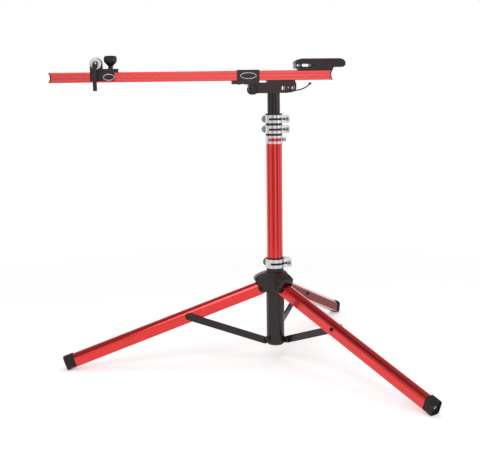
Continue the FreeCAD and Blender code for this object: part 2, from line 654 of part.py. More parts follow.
def leg_pivot_bolt():
    seat = ARM_HALF - PIVOT_HEAD - 0.5
    shank = rod_y(PIVOT_BOLT_R, -seat, seat, LEG_PIVOT_R, pivot_z)
    head = rod_y(PIVOT_HEAD_R, seat, seat + PIVOT_HEAD, LEG_PIVOT_R, pivot_z)
    nut = rod_y(PIVOT_HEAD_R, -seat - PIVOT_HEAD, -seat, LEG_PIVOT_R, pivot_z)
    socket = rod_y(SOCKET_R, seat + PIVOT_HEAD / 2, seat + 2 * PIVOT_HEAD, LEG_PIVOT_R, pivot_z)
    return shank.fuse([head, nut]).cut(socket)


def leg_outline(gap):
    """Section of the leg: flat sides, rounded lower corners, crowned top with a fine ridge."""
    half = LEG_WIDTH / 2 + gap
    low = -LEG_HEIGHT / 2 - gap
    top = LEG_HEIGHT / 2 + gap
    crown = top - LEG_RIDGE_UP
    edge = crown - LEG_CROWN
    ridge = LEG_RIDGE / 2 + gap
    corner = LEG_CORNER
    bend = corner * (1 - math.sqrt(0.5))
    groove_top = edge - LEG_GROOVE_DOWN - 2 * gap
    groove_low = groove_top - LEG_GROOVE + 2 * gap
    deep = half - LEG_GROOVE_DEEP
    radius = (half ** 2 + LEG_CROWN ** 2) / (2 * LEG_CROWN)
    centre = crown - radius

    def crowned(y):
        return centre + math.sqrt(radius ** 2 - y ** 2)

    right = [(half - corner, low), (half, low + corner), (half, groove_low), (deep, groove_low),
             (deep, groove_top), (half, groove_top), (half, edge), (ridge, crowned(ridge)), (ridge, top)]
    bows = {0: (half - bend, low + bend), 6: (half * 0.55, crowned(half * 0.55))}
    edges = []
    for side in (1, -1):
        for i, (here, there) in enumerate(zip(right, right[1:])):
            a = V(0, side * here[0], here[1])
            b = V(0, side * there[0], there[1])
            if i in bows:
                edges.append(Part.Arc(a, V(0, side * bows[i][0], bows[i][1]), b).toShape())
            else:
                edges.append(Part.makeLine(a, b))
    edges.append(Part.makeLine(V(0, -ridge, top), V(0, ridge, top)))
    edges.append(Part.makeLine(V(0, -right[0][0], low), V(0, right[0][0], low)))
    return Part.Face(Part.Wire(Part.__sortEdges__(edges)))


def leg_hollow(gap):
    half = LEG_WIDTH / 2 - LEG_WALL - gap
    low = -LEG_HEIGHT / 2 + LEG_WALL + gap
    top = LEG_HEIGHT / 2 - LEG_RIDGE_UP - LEG_WALL - gap
    edge = top - LEG_CROWN
    return [(-half, low), (half, low), (half, edge), (0, top), (-half, edge)]


def leg():
    end = LEG_LENGTH - FOOT_RECESS - FOOT_WEB
    start = -root_r
    bar = leg_outline(0.0).extrude(V(end - start, 0, 0))
    bar.translate(V(start, 0, 0))
    bar = bar.cut(end_bar(leg_hollow(0.0), start - 1, end + 1))
    eye = rod_y(root_r, -LEG_WIDTH, LEG_WIDTH, 0, 0)
    bar = bar.common(eye.fuse(box(0, end + 1, -LEG_WIDTH, LEG_WIDTH, -LEG_HEIGHT, LEG_HEIGHT)))
    bar = bar.cut(rod_y(PIVOT_BOLT_R + RUN, -LEG_WIDTH, LEG_WIDTH, 0, 0))
    return bar.cut(rod_y(STRUT_BOLT_R + GLUE, -LEG_WIDTH, LEG_WIDTH, STRUT_ON_LEG, 0))


def leg_insert():
    block = end_bar(leg_hollow(GLUE), -root_r, INSERT_LENGTH - root_r)
    eye = rod_y(root_r, -LEG_WIDTH, LEG_WIDTH, 0, 0)
    block = block.common(eye.fuse(box(0, LEG_LENGTH, -LEG_WIDTH, LEG_WIDTH, -LEG_HEIGHT, LEG_HEIGHT)))
    return block.cut(rod_y(PIVOT_BOLT_R + RUN, -LEG_WIDTH, LEG_WIDTH, 0, 0))


def strut_stud():
    """Bolt across the leg, its head on the side away from the strut."""
    half = LEG_WIDTH / 2
    shank = rod_y(STRUT_BOLT_R, -half, half, STRUT_ON_LEG, 0)
    head = rod_y(STUD_HEAD_R, -half - STUD_HEAD, -half, STRUT_ON_LEG, 0)
    return shank.fuse(head).cut(rod_y(SOCKET_R, -2 * half, -half - STUD_HEAD / 2, STRUT_ON_LEG, 0))


def foot(azimuth):
    inner = LEG_LENGTH - FOOT_LENGTH
    half = LEG_WIDTH / 2 + FOOT_WALL
    cap = box(inner, LEG_LENGTH, -half, half, -foot_half, foot_half)
    cap = rounded(cap, FOOT_CORNER, lambda e: runs_along(e, V(1, 0, 0)) and e.BoundBox.ZMax < 0)
    cap = rounded(cap, FOOT_TOP_CORNER, lambda e: runs_along(e, V(1, 0, 0)) and e.BoundBox.ZMin > foot_half - 0.1)
    cap = rounded(cap, FOOT_LIP_ROUND, lambda e: e.BoundBox.XMin > LEG_LENGTH - 0.1)
    seat = LEG_LENGTH - FOOT_RECESS - FOOT_WEB
    pocket = leg_outline(GLUE).extrude(V(seat - inner + 1, 0, 0))
    pocket.translate(V(inner - 1, 0, 0))
    recess = box(LEG_LENGTH - FOOT_RECESS, LEG_LENGTH + 1, -half + FOOT_LIP, half - FOOT_LIP,
                 -foot_half + FOOT_LIP, foot_half - FOOT_LIP)
    recess = rounded(recess, FOOT_CORNER - 1, lambda e: runs_along(e, V(1, 0, 0)) and e.BoundBox.ZMax < 0)
    recess = rounded(recess, FOOT_TOP_CORNER - 2, lambda e: runs_along(e, V(1, 0, 0)) and e.BoundBox.ZMin > 0)
    cap = on_leg(cap.cut(pocket).cut(recess), azimuth)
    span = 2 * LEG_LENGTH
    return cap.cut(box(-span, span, -span, span, -span, 0))


def strut_line():
    """Root, tip and slope of a strut, in the plane of its leg."""
    tip_r = LEG_PIVOT_R + STRUT_ON_LEG * math.cos(tilt)
    tip_z = pivot_z - STRUT_ON_LEG * math.sin(tilt)
    length = math.hypot(tip_r - STRUT_ROOT_R, tip_z - strut_root_z)
    slope = math.degrees(math.atan2(tip_z - strut_root_z, tip_r - STRUT_ROOT_R))
    return length, slope


def strut():
    length, slope = strut_line()
    y0 = strut_side
    y1 = y0 + STRUT_THICK
    bar = box(0, length, y0, y1, -STRUT_HALF, STRUT_HALF)
    bar = bar.fuse([rod_y(STRUT_HALF, y0, y1, 0, 0), rod_y(STRUT_HALF, y0, y1, length, 0)])
    bar = bar.removeSplitter()
    bar = rounded(bar, 0.8, lambda e: e.BoundBox.YLength < 0.01)
    bar = bar.cut(rod_y(STRUT_BOLT_R + RUN, y0 - 1, y1 + 1, 0, 0))
    bar.rotate(V(0, 0, 0), V(0, 1, 0), -slope)
    bar.translate(V(STRUT_ROOT_R, 0, strut_root_z))
    return bar


# ---- beam -----------------------------------------------------------------
def beam_section(x0, x1):
    half = BEAM_HALF
    bar = box(x0, x1, -half, half, beam_low, beam_top)
    radius = ((BEAM_HEIGHT / 2) ** 2 + BEAM_CROWN ** 2) / (2 * BEAM_CROWN)
    for side in (-1, 1):
        bar = bar.common(rod_x(radius, x0, x1, side * (half - radius), beam_mid))
    bar = rounded(bar, 1.5, lambda e: runs_along(e, V(1, 0, 0)))
    for side in (-1, 1):
        for step in (-1, 1):
            z = beam_mid + step * BEAM_GROOVE_OFF
            y = side * half
            bar = bar.cut(box(x0 - 1, x1 + 1, y - BEAM_GROOVE_DEEP, y + BEAM_GROOVE_DEEP,
                              z - BEAM_GROOVE / 2, z + BEAM_GROOVE / 2))
    return bar


def mouth(x_end, side, extra):
    """Cylinder that hollows a beam end; side is -1 for the left end and +1 for the right."""
    radius = ((BEAM_HEIGHT / 2) ** 2 + BEAM_MOUTH ** 2) / (2 * BEAM_MOUTH)
    centre = x_end + side * (radius - BEAM_MOUTH)
    return rod_y(radius + extra, -2 * BEAM_HALF, 2 * BEAM_HALF, centre, beam_mid)


def beam_rail():
    bar = beam_section(BEAM_LEFT, BEAM_RIGHT)
    wall = BEAM_WALL
    bar = bar.cut(box(BEAM_LEFT - 1, BEAM_RIGHT + 1, -BEAM_HALF + wall, BEAM_HALF - wall,
                      beam_low + wall, beam_top - wall))
    ends = [mouth(BEAM_LEFT, -1, CAP_WALL), mouth(BEAM_RIGHT, 1, CAP_WALL)]
    return bar.cut(ends[0]).cut(ends[1])


def beam_caps():
    span = 2 * BEAM_MOUTH + CAP_WALL
    left = beam_section(BEAM_LEFT, BEAM_LEFT + span)
    left = left.common(mouth(BEAM_LEFT, -1, CAP_WALL)).cut(mouth(BEAM_LEFT, -1, 0.0))
    right = beam_section(BEAM_RIGHT - span, BEAM_RIGHT)
    right = right.common(mouth(BEAM_RIGHT, 1, CAP_WALL)).cut(mouth(BEAM_RIGHT, 1, 0.0))
    return Part.makeCompound([left, right])


def lock_tongue():
    """Plate under the beam that the latch cam grips."""
    right = LATCH_X - LATCH_CAM_R - AIR
    half = LATCH_HALF - 0.5
    plate = box(right - TONGUE_PLATE, right, -half, half, beam_low - TONGUE_DEPTH, beam_low)
    return plate


def saddle_screw_places():
    y = BEAM_HALF + SADDLE_WALL / 2
    return [(x, s * y) for x in (SADDLE_LEFT + SADDLE_SCREW_IN, EAR_LEFT - SADDLE_SCREW_OFF) for s in (-1, 1)]


def saddle_bracket():
    half = BEAM_HALF + SADDLE_WALL
    plate = box(PLATE_LEFT, PLATE_RIGHT, -half, half, beam_low - PLATE_THICK, beam_low)
    plate = rounded(plate, 3.0, lambda e: runs_along(e, V(0, 0, 1)))
    ear_in = TONGUE_HALF + AIR
    low = hinge_z
    for side in (-1, 1):
        y0, y1 = sorted((side * ear_in, side * HEAD_HALF))
        ear = box(EAR_LEFT, EAR_RIGHT, y0, y1, low, beam_low - PLATE_THICK + 1)
        ear = ear.fuse(rod_y(HINGE_R, y0, y1, HINGE_X, hinge_z))
        plate = plate.fuse(ear)
    plate = plate.cut(rod_y(HINGE_PIN_R + RUN, -2 * half, 2 * half, HINGE_X, hinge_z))
    for x, y in saddle_screw_places():
        plate = plate.cut(disc(SADDLE_SCREW_R + GLUE, 0, beam_low + 1, x, y))
    return plate


def saddle_clamp():
    half = BEAM_HALF + SADDLE_WALL
    block = box(SADDLE_LEFT, PLATE_RIGHT, -half, half, beam_low, beam_top + SADDLE_WALL * 0.7)
    block = rounded(block, 2.0, lambda e: runs_along(e, V(1, 0, 0)) and e.BoundBox.ZMin > beam_top)
    middle = (SADDLE_LEFT + PLATE_RIGHT) / 2
    block = block.fuse(oval(middle, beam_mid, BADGE_LONG, BADGE_SHORT, -half - BADGE_UP, half + BADGE_UP))
    room = box(SADDLE_LEFT - 1, PLATE_RIGHT + 1, -BEAM_HALF - GLUE, BEAM_HALF + GLUE, beam_low - 1, beam_top + GLUE)
    block = block.cut(room)
    for x, y in saddle_screw_places():
        block = block.cut(disc(SADDLE_SCREW_R + GLUE, beam_low - 1, beam_mid, x, y))
    return block


def saddle_screws():
    screws = []
    for x, y in saddle_screw_places():
        shank = disc(SADDLE_SCREW_R, beam_low - PLATE_THICK, beam_mid - 1, x, y)
        head = disc(1.8 * SADDLE_SCREW_R, beam_low - PLATE_THICK - SADDLE_SCREW_R, beam_low - PLATE_THICK, x, y)
        screws.append(shank.fuse(head))
    return Part.makeCompound(screws)


# ---- cradle ---------------------------------------------------------------
def cradle_body():
    low = beam_top
    top = low + CRADLE_HEIGHT
    left = CRADLE_LEFT
    right = CRADLE_RIGHT
    outline = [(CRADLE_SEAT_LEFT, low), (CRADLE_SEAT_RIGHT, low), (CRADLE_SEAT_RIGHT + 3, low + 7.5),
               (right - 6, low + 7.5), (right, low + 13), (right, low + 21), (right - 5, low + 27.5),
               (right - 15, top), (left + 20, top), (left + 11, top - 2.5), (left + 4, top - 7),
               (left, low + 20.5), (left + 2.6, low + 18), (left + 2.6, low + 4.5), (left + 10, low + 4.5)]
    body = side_plate(outline, -CRADLE_HALF, CRADLE_HALF)
    centre = top - CRADLE_TROUGH_DEEP + CRADLE_TROUGH_R
    body = body.cut(rod_x(CRADLE_TROUGH_R, left - 1, right + 1, 0, centre))
    wide = CRADLE_HALF + 1
    for x0, x1, z0, z1 in CRADLE_WINDOWS:
        body = body.cut(slot_y(left + x0, left + x1, low + z0, low + z1, -wide, wide))
    x0, x1, z0, z1 = CRADLE_POCKET
    for side in (-1, 1):
        y0, y1 = sorted((side * wide, side * (CRADLE_HALF - CRADLE_POCKET_DEEP)))
        body = body.cut(slot_y(left + x0, left + x1, low + z0, low + z1, y0, y1))
        y0, y1 = sorted((side * (CRADLE_HALF - 1), side * (CRADLE_HALF + CRADLE_BOSS_PROUD)))
        body = body.fuse(rod_y(CRADLE_BOSS_R, y0, y1, right - CRADLE_BOSS_IN, low + CRADLE_BOSS_UP))
    for x in cradle_bolt_places():
        body = body.cut(disc(CRADLE_BOLT_R + GLUE, low - 1, top, x))
        body = body.cut(disc(2 * CRADLE_BOLT_R, top - CRADLE_TROUGH_DEEP - CRADLE_SINK, top + 1, x))
    return body


def cradle_bolt_places():
    return [CRADLE_SEAT_LEFT + CRADLE_BOLT_LEFT, CRADLE_SEAT_RIGHT - CRADLE_BOLT_RIGHT]


def cradle_bolts():
    bolts = []
    seat = beam_top + CRADLE_HEIGHT - CRADLE_TROUGH_DEEP - CRADLE_SINK
    for x in cradle_bolt_places():
        shank = disc(CRADLE_BOLT_R, beam_top, seat, x)
        head = disc(1.8 * CRADLE_BOLT_R, seat, seat + CRADLE_BOLT_R, x)
        bolts.append(shank.fuse(head))
    return Part.makeCompound(bolts)


def cradle_pad():
    """Rubber lining of the trough."""
    top = beam_top + CRADLE_HEIGHT
    centre = top - CRADLE_TROUGH_DEEP + CRADLE_TROUGH_R
    outer = rod_x(CRADLE_TROUGH_R - GLUE, CRADLE_LEFT + CRADLE_PAD_LEFT,
                  CRADLE_RIGHT - CRADLE_PAD_RIGHT, 0, centre)
    inner = rod_x(CRADLE_TROUGH_R - CRADLE_PAD, CRADLE_LEFT, CRADLE_RIGHT, 0, centre)
    wide = 2 * CRADLE_HALF
    pad = outer.cut(inner).cut(box(0, 2 * CRADLE_RIGHT, -wide, wide, top - CRADLE_PAD_DOWN, top + wide))
    for x in cradle_bolt_places():
        pad = pad.cut(disc(2 * CRADLE_BOLT_R, 0, top, x))
    return pad


# ---- fork clamp -----------------------------------------------------------
def clamp_slider():
    half = clamp_in + CLAMP_WALL
    block = box(CLAMP_LEFT, CLAMP_RIGHT, -half, half, clamp_low, plate_top)
    block = rounded(block, 2.0, lambda e: runs_along(e, V(0, 0, 1)))
    block = block.fuse(box(CLAMP_LEFT + 2, CLAMP_PLATE_RIGHT, -half + 2, half - 2, plate_low, plate_top))
    post = box(CLAMP_LEFT, CLAMP_LEFT + 2 * POST_R, -POST_HALF, POST_HALF, plate_low, axle_z)
    block = block.fuse([post, rod_y(POST_R, -POST_HALF, POST_HALF, axle_x, axle_z)])
    middle = (axle_x + POST_R + CLAMP_RIGHT) / 2
    badge = oval(middle, beam_mid, BADGE_LONG * 0.68, BADGE_SHORT, -half - BADGE_UP, half + BADGE_UP)
    block = block.fuse(badge)
    block = block.cut(box(CLAMP_LEFT - 1, CLAMP_RIGHT + 20, -clamp_in, clamp_in, clamp_low - 1, plate_low))
    rib_half = BEAM_GROOVE / 2 - AIR
    rib_in = BEAM_HALF - BEAM_GROOVE_DEEP + AIR
    for side in (-1, 1):
        for step in (-1, 1):
            z = beam_mid + step * BEAM_GROOVE_OFF
            y0, y1 = sorted((side * rib_in, side * (clamp_in + 1)))
            block = block.fuse(box(CLAMP_LEFT + 2, CLAMP_RIGHT - 2, y0, y1, z - rib_half, z + rib_half))
    block = block.cut(rod_y(AXLE_R + GLUE, -99, 99, axle_x, axle_z))
    block = block.cut(disc(KNOB_SCREW_R + RUN, plate_low - 1, plate_top + 1, KNOB_X))
    return block.cut(disc(SHOE_R + GLUE, plate_low - 1, plate_low + SHOE_THICK, KNOB_X))


def clamp_shoe():
    return disc(SHOE_R, plate_low, plate_low + SHOE_THICK, KNOB_X)


def fork_axle():
    tube = rod_y(AXLE_R, -AXLE_HALF, AXLE_HALF, axle_x, axle_z)
    stub = rod_y(STUB_R, -AXLE_HALF - CUP_THICK - STUB, AXLE_HALF + CUP_THICK + STUB, axle_x, axle_z)
    return tube.fuse(stub).cut(rod_y(SKEWER_R + GLUE, -99, 99, axle_x, axle_z))


def axle_cups():
    cups = []
    for side in (-1, 1):
        y0, y1 = sorted((side * AXLE_HALF, side * (AXLE_HALF + CUP_THICK)))
        cup = rod_y(CUP_R, y0, y1, axle_x, axle_z)
        outer = side * (AXLE_HALF + CUP_THICK)
        cup = rounded(cup, 1.2, lambda e: abs(e.BoundBox.Center.y - outer) < 0.1)
        cups.append(cup.cut(rod_y(STUB_R + GLUE, y0 - 1, y1 + 1, axle_x, axle_z)))
    return Part.makeCompound(cups)


def skewer_places():
    ring = -(AXLE_HALF + CUP_THICK + STUB + AIR)
    return ring, ring - SKEWER_RING - AIR - SKEWER_CAM_R


def skewer_rod():
    ring, cam_y = skewer_places()
    end = AXLE_HALF + CUP_THICK + STUB + AIR + SKEWER_NUT
    rod = rod_y(SKEWER_R, cam_y, end - 2, axle_x, axle_z)
    half = SKEWER_WIDTH / 2 + 0.5
    pin = rod_x(SKEWER_R - 0.5, axle_x - half, axle_x + half, cam_y, axle_z)
    collar = rod_y(SKEWER_RING_R, ring - SKEWER_RING, ring, axle_x, axle_z)
    return rod.fuse([pin, collar])


def skewer_nut():
    low = AXLE_HALF + CUP_THICK + STUB + AIR
    nut = rod_y(SKEWER_NUT_R, low, low + SKEWER_NUT, axle_x, axle_z)
    nut = rounded(nut, 2.0, lambda e: e.BoundBox.YMin > low + SKEWER_NUT - 0.1)
    return nut.cut(rod_y(SKEWER_R + GLUE, low - 1, low + SKEWER_NUT - 1.5, axle_x, axle_z))


def skewer_lever():
    ring, cam_y = skewer_places()
    half = SKEWER_WIDTH / 2
    barrel = rod_x(SKEWER_CAM_R, axle_x - half, axle_x + half, cam_y, axle_z)
    outer = cam_y - SKEWER_CAM_R
    inner = outer + SKEWER_THICK
    left = axle_x - half - SKEWER_SHIFT
    blade = box(left, left + SKEWER_WIDTH, outer, inner, axle_z - SKEWER_LEVER, axle_z)
    blade = rounded(blade, SKEWER_THICK / 3, lambda e: e.BoundBox.ZMax < axle_z - SKEWER_LEVER + 0.1
                    and runs_along(e, V(1, 0, 0)))
    root = box(left, axle_x + half, outer, inner, axle_z - SKEWER_ROOT, axle_z)
    lever = barrel.fuse([blade, root])
    gap = SKEWER_R + AIR
    fork = rod_x(SKEWER_CAM_R + 0.5, axle_x - gap, axle_x + gap, cam_y, axle_z)
    return lever.cut(fork).cut(rod_x(SKEWER_R - 0.5 + RUN, axle_x - 99, axle_x + 99, cam_y, axle_z))


def clamp_knob():
    neck_top_z = knob_z + KNOB_NECK
    head_z = neck_top_z + KNOB_TAPER
    knob = disc(KNOB_NECK_R, knob_z, neck_top_z + 1, KNOB_X)
    cone = Part.makeCone(KNOB_NECK_R + 1, KNOB_R, KNOB_TAPER, V(KNOB_X, 0, neck_top_z))
    head = disc(KNOB_R, head_z, head_z + KNOB_HEIGHT, KNOB_X)
    knob = knob.fuse([cone, head]).removeSplitter()
    knob = rounded(knob, KNOB_ROUND, lambda e: e.BoundBox.ZMin > head_z + KNOB_HEIGHT - 0.1)
    for i in range(KNOB_FLUTES):
        angle = 2 * math.pi * i / KNOB_FLUTES
        reach = KNOB_R + KNOB_FLUTE_R * 0.6
        flute = disc(KNOB_FLUTE_R, neck_top_z - 1, head_z + KNOB_HEIGHT + 1,
                     KNOB_X + reach * math.cos(angle), reach * math.sin(angle))
        knob = knob.cut(flute)
    return knob.cut(disc(KNOB_SCREW_R + GLUE, 0, head_z, KNOB_X))


def knob_screw():
    return disc(KNOB_SCREW_R, plate_low + SHOE_THICK + AIR, knob_z + KNOB_NECK + KNOB_TAPER, KNOB_X)


# ---- write every node -----------------------------------------------------
os.makedirs("parts", exist_ok=True)

save(main_tube(), "main_tube")
save(bottom_hub(), "bottom_hub")
save(all_turned(strut_root_bolt()), "strut_root_bolts")
save(neck_sleeve(), "neck_sleeve")
save(stop_ring(), "stop_ring")
save(stop_ring_screw(), "stop_ring_screw")

COLLARS = {
    "low_collar": (HUB_NECK_R + GLUE, LOW_COLLAR_R, low_collar_z, LOW_COLLAR_HEIGHT),
    "mid_collar": (neck_out + GLUE, COLLAR_R, mid_collar_z, COLLAR_HEIGHT),
    "top_collar": (neck_out + GLUE, COLLAR_R, top_collar_z, COLLAR_HEIGHT),
}
for name, (r_in, r_out, z0, height) in COLLARS.items():
    save(collar_ring(r_in, r_out, z0, height), name)
    save(collar_bolt(r_out, z0, height), name + "_bolt")
    save(collar_lever(r_out, z0, height), name + "_lever")

save(tripod_hub(), "tripod_hub")
save(hub_sleeve(), "hub_sleeve")
save(all_turned(leg_pivot_bolt()), "leg_pivot_bolts")
for number, azimuth in enumerate(LEG_AZIMUTHS, 1):
    tag = "_" + str(number)
    save(on_leg(leg(), azimuth), "leg" + tag)
    save(on_leg(leg_insert(), azimuth), "leg_insert" + tag)
    save(on_leg(strut_stud(), azimuth), "strut_stud" + tag)
    save(foot(azimuth), "foot" + tag)
    save(turned(strut(), azimuth), "strut" + tag)

save(swivel_sleeve(), "swivel_sleeve")
save(mast_tube(), "mast_tube")
save(mast_glide(), "mast_glide")
save(head_body(), "head_body")
save(head_screws(), "head_screws")
save(hinge_pin(), "hinge_pin")
save(hinge_washers(), "hinge_washers")
save(latch_pin(), "latch_pin")
save(latch_lever(), "latch_lever")

save(beam_rail(), "beam_rail")
save(beam_caps(), "beam_caps")
save(lock_tongue(), "lock_tongue")
save(saddle_bracket(), "saddle_bracket")
save(saddle_clamp(), "saddle_clamp")
save(saddle_screws(), "saddle_screws")
save(cradle_body(), "cradle_body")
save(cradle_pad(), "cradle_pad")
save(cradle_bolts(), "cradle_bolts")

save(clamp_slider(), "clamp_slider")
save(clamp_shoe(), "clamp_shoe")
save(fork_axle(), "fork_axle")
save(axle_cups(), "axle_cups")
save(skewer_rod(), "skewer_rod")
save(skewer_nut(), "skewer_nut")
save(skewer_lever(), "skewer_lever")
save(clamp_knob(), "clamp_knob")
save(knob_screw(), "knob_screw")
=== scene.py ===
# %% [markdown]
# # A folding bicycle repair stand
#
# The stand is already built as exact solids: a tripod, a telescoping column and a long beam
# that carries the bicycle. Here it gets its looks. The solids are loaded as a fixed frame,
# so every new piece is placed from the frame's own boxes, and each one is told which moving
# part it rides on.

# %% Load the frame
import json
import math

import bpy
from mathutils import Matrix, Vector


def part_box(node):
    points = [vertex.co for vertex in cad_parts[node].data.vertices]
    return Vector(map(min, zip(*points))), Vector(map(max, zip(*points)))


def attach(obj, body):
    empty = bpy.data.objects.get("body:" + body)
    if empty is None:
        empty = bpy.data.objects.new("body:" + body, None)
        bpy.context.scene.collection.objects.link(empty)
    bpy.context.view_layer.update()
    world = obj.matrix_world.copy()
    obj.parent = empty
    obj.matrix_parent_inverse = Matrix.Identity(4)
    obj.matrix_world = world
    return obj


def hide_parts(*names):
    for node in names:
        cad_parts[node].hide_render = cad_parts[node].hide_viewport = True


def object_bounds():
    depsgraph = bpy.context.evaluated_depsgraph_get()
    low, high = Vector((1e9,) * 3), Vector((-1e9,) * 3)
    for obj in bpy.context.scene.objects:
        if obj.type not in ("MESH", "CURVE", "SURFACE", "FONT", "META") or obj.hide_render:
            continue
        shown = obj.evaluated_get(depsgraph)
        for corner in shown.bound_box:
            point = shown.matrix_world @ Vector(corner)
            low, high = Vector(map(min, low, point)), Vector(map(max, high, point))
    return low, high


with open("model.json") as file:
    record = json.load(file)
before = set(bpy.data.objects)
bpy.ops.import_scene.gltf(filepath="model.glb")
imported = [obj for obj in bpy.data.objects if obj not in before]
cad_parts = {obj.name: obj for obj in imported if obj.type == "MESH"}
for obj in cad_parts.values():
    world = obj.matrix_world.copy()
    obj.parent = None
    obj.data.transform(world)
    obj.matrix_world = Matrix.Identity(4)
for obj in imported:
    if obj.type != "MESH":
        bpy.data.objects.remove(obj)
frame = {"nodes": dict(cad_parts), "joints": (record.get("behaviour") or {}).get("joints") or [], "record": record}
nodes = frame["nodes"]
record = frame["record"]
joints = {joint["name"]: joint for joint in frame["joints"]}
cad_low, cad_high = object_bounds()
MM = 0.001
slots = {part["node"]: part["material_slot"] for part in record["subparts"]}
print(len(nodes), "nodes,", [round(side, 3) for side in cad_high - cad_low], "m")

# %% [markdown]
# ## Colours and nodes
#
# Colours are written as a painter's hex code and turned to the linear numbers that a
# renderer adds up. Material nodes are added by one small function: it makes a node, sets
# what it is given, fills its inputs in order or by name, and hands back the output that
# the next node needs. A pattern gets its size from a Mapping node whose scale is the size of
# one cell of the pattern, so it can be written in millimetres, and whose turn lays the
# pattern along the piece.

# %% Helpers for colour and nodes
COLOURS = {"data_type": "RGBA"}     # settings of a Mix node that blends two colours


def linear(code):
    """An sRGB hex colour as linear red, green, blue and alpha."""
    parts = [int(code[i:i + 2], 16) / 255 for i in (1, 3, 5)]
    return [c / 12.92 if c <= 0.04045 else ((c + 0.055) / 1.055) ** 2.4 for c in parts] + [1.0]


def fill(tree, node, inputs=(), **by_name):
    """Gives inputs of a node a value each, or links them to an output."""
    wanted = list(zip(node.inputs, inputs))
    for name, value in by_name.items():
        plain = name.replace("_", " ")
        wanted.append((next(s for s in node.inputs if s.name == plain and s.enabled), value))
    for socket, value in wanted:
        if isinstance(value, bpy.types.NodeSocket):
            tree.links.new(value, socket)
        else:
            socket.default_value = value


def add(tree, kind, settings=None, inputs=(), output=None, **by_name):
    """Adds a node with its settings and inputs, and returns the named output or the first."""
    node = tree.nodes.new("ShaderNode" + kind)
    for name, value in (settings or {}).items():
        setattr(node, name, value)
    fill(tree, node, inputs, **by_name)
    return next(s for s in node.outputs if s.enabled and output in (None, s.name))


def new_material(name):
    """A new material, its node tree, and the Principled shader already joined to the output."""
    made = bpy.data.materials.new(name)
    made.use_nodes = True
    tree = made.node_tree
    return made, tree, tree.nodes["Principled BSDF"]


def cells(tree, size_mm, turn=(0, 0, 0)):
    """Coordinates in which one unit is a cell of that size, turned to lie along the piece."""
    return add(tree, "Mapping", {"vector_type": "TEXTURE"}, Rotation=turn,
               Vector=add(tree, "TexCoord", output="Object"),
               Scale=[side * MM for side in size_mm])


print("mid grey as light:", round(linear("#808080")[0], 3))

# %% [markdown]
# ## Edges
#
# A made edge is never a knife edge: tools, tumbling and handling round it, and the round
# catches the light as a thin line. The Bevel node finds edges by looking a small distance
# round each point, and it returns a rounded normal. Where that normal departs from the
# true one there is an edge. The same mask paints a pale highlight into the colour along the
# edges of the anodised and moulded finishes, and on the blackened bolts it marks rubbed oxide.

# %% Edge mask and rounded normal
FACE_MATCH = 0.99    # how far the two normals agree where a face is flat
EDGE_MATCH = 0.80    # and where the mask calls it an edge


def edges(tree, radius_mm):
    """The rounded normal, and a mask that is 1 on edges and 0 on faces."""
    rounded = add(tree, "Bevel", {"samples": 6}, Radius=radius_mm * MM)
    true = add(tree, "NewGeometry", output="Normal")
    match = add(tree, "VectorMath", {"operation": "DOT_PRODUCT"}, [rounded, true])
    return rounded, add(tree, "MapRange", inputs=[match, FACE_MATCH, EDGE_MATCH, 0.0, 1.0])


# %% [markdown]
# ## Red anodised aluminium
#
# The column, the beam and the legs are drawn or extruded aluminium, brightened in acid, dyed
# red through an oxide film and then sealed. The metal under the dye keeps its glow, so the
# shader is mostly metal with a red colour. The sealed film is clear like a lacquer: it adds
# a second, white reflection that grows towards grazing angles, which is why a round tube
# turns pinkish white at its outline. The die leaves faint lines along each piece, under a
# hundredth of a millimetre deep, and the dye takes a little unevenly, so both the roughness
# and the colour drift in long, low streaks. A pale pink highlight is painted into the colour
# along the edges, and the narrow grooves get a painted shade: a dark red wherever the Ambient
# Occlusion node finds them closed in. The beam's red is mixed a little paler than the tubes'.

# %% Red anodised aluminium
# Of these colours, the pale pink for the edges is a painted highlight and the dark red for the grooves is a
# painted shade.
RED_DEEP = linear("#d81d1c")
RED_BRIGHT = linear("#f02826")
RED_EDGE_HIGHLIGHT = linear("#ff8f88")
RED_PALE = linear("#f79a94")
RED_GROOVE_SHADE = linear("#8a1a1d")


def red_anodised(name, turn, streak_mm, paleness=0.03):
    made, tree, shader = new_material(name)
    streaks = add(tree, "TexNoise", Vector=cells(tree, streak_mm, turn), Scale=1.0, Detail=1.0)
    clouds = add(tree, "TexNoise", Vector=cells(tree, (90, 90, 90)), Scale=1.0, Detail=2.0)
    slow = add(tree, "MapRange", inputs=[clouds, 0.3, 0.7, 0.35, 0.7])
    quick = add(tree, "MapRange", inputs=[streaks, 0.3, 0.7, 0.0, 0.2])
    dye = add(tree, "Math", {"operation": "ADD"}, [slow, quick])
    dyed = add(tree, "Mix", COLOURS, Factor=dye, A=RED_DEEP, B=RED_BRIGHT)
    film = add(tree, "Mix", COLOURS, Factor=paleness, A=dyed, B=RED_PALE)
    # Painted shade: the narrow grooves are mixed towards a dark red where the Ambient Occlusion node finds them
    # closed in.
    open_air = add(tree, "AmbientOcclusion", {"samples": 12}, output="AO", Distance=4 * MM)
    groove_shade = add(tree, "MapRange", inputs=[open_air, 0.35, 0.75, 1.0, 0.0])
    groove_shaded = add(tree, "Mix", COLOURS, Factor=groove_shade, A=film, B=RED_GROOVE_SHADE)
    # Painted highlight: a pale pink is mixed into the colour along the edges.
    rounded, edge = edges(tree, 0.7)
    edge_highlight = add(tree, "MapRange", inputs=[edge, 0.0, 1.0, 0.0, 0.4])
    edge_toned = add(tree, "Mix", COLOURS, Factor=edge_highlight, A=groove_shaded, B=RED_EDGE_HIGHLIGHT)
    drawn = add(tree, "Bump", Strength=0.3, Distance=0.002 * MM, Height=streaks, Normal=rounded)
    gloss = add(tree, "MapRange", inputs=[streaks, 0.3, 0.7, 0.14, 0.19])
    fill(tree, shader, Base_Color=edge_toned, Metallic=0.93, Roughness=gloss, Normal=drawn,
         Coat_Weight=0.8, Coat_Roughness=0.07, Coat_IOR=1.5)
    return made
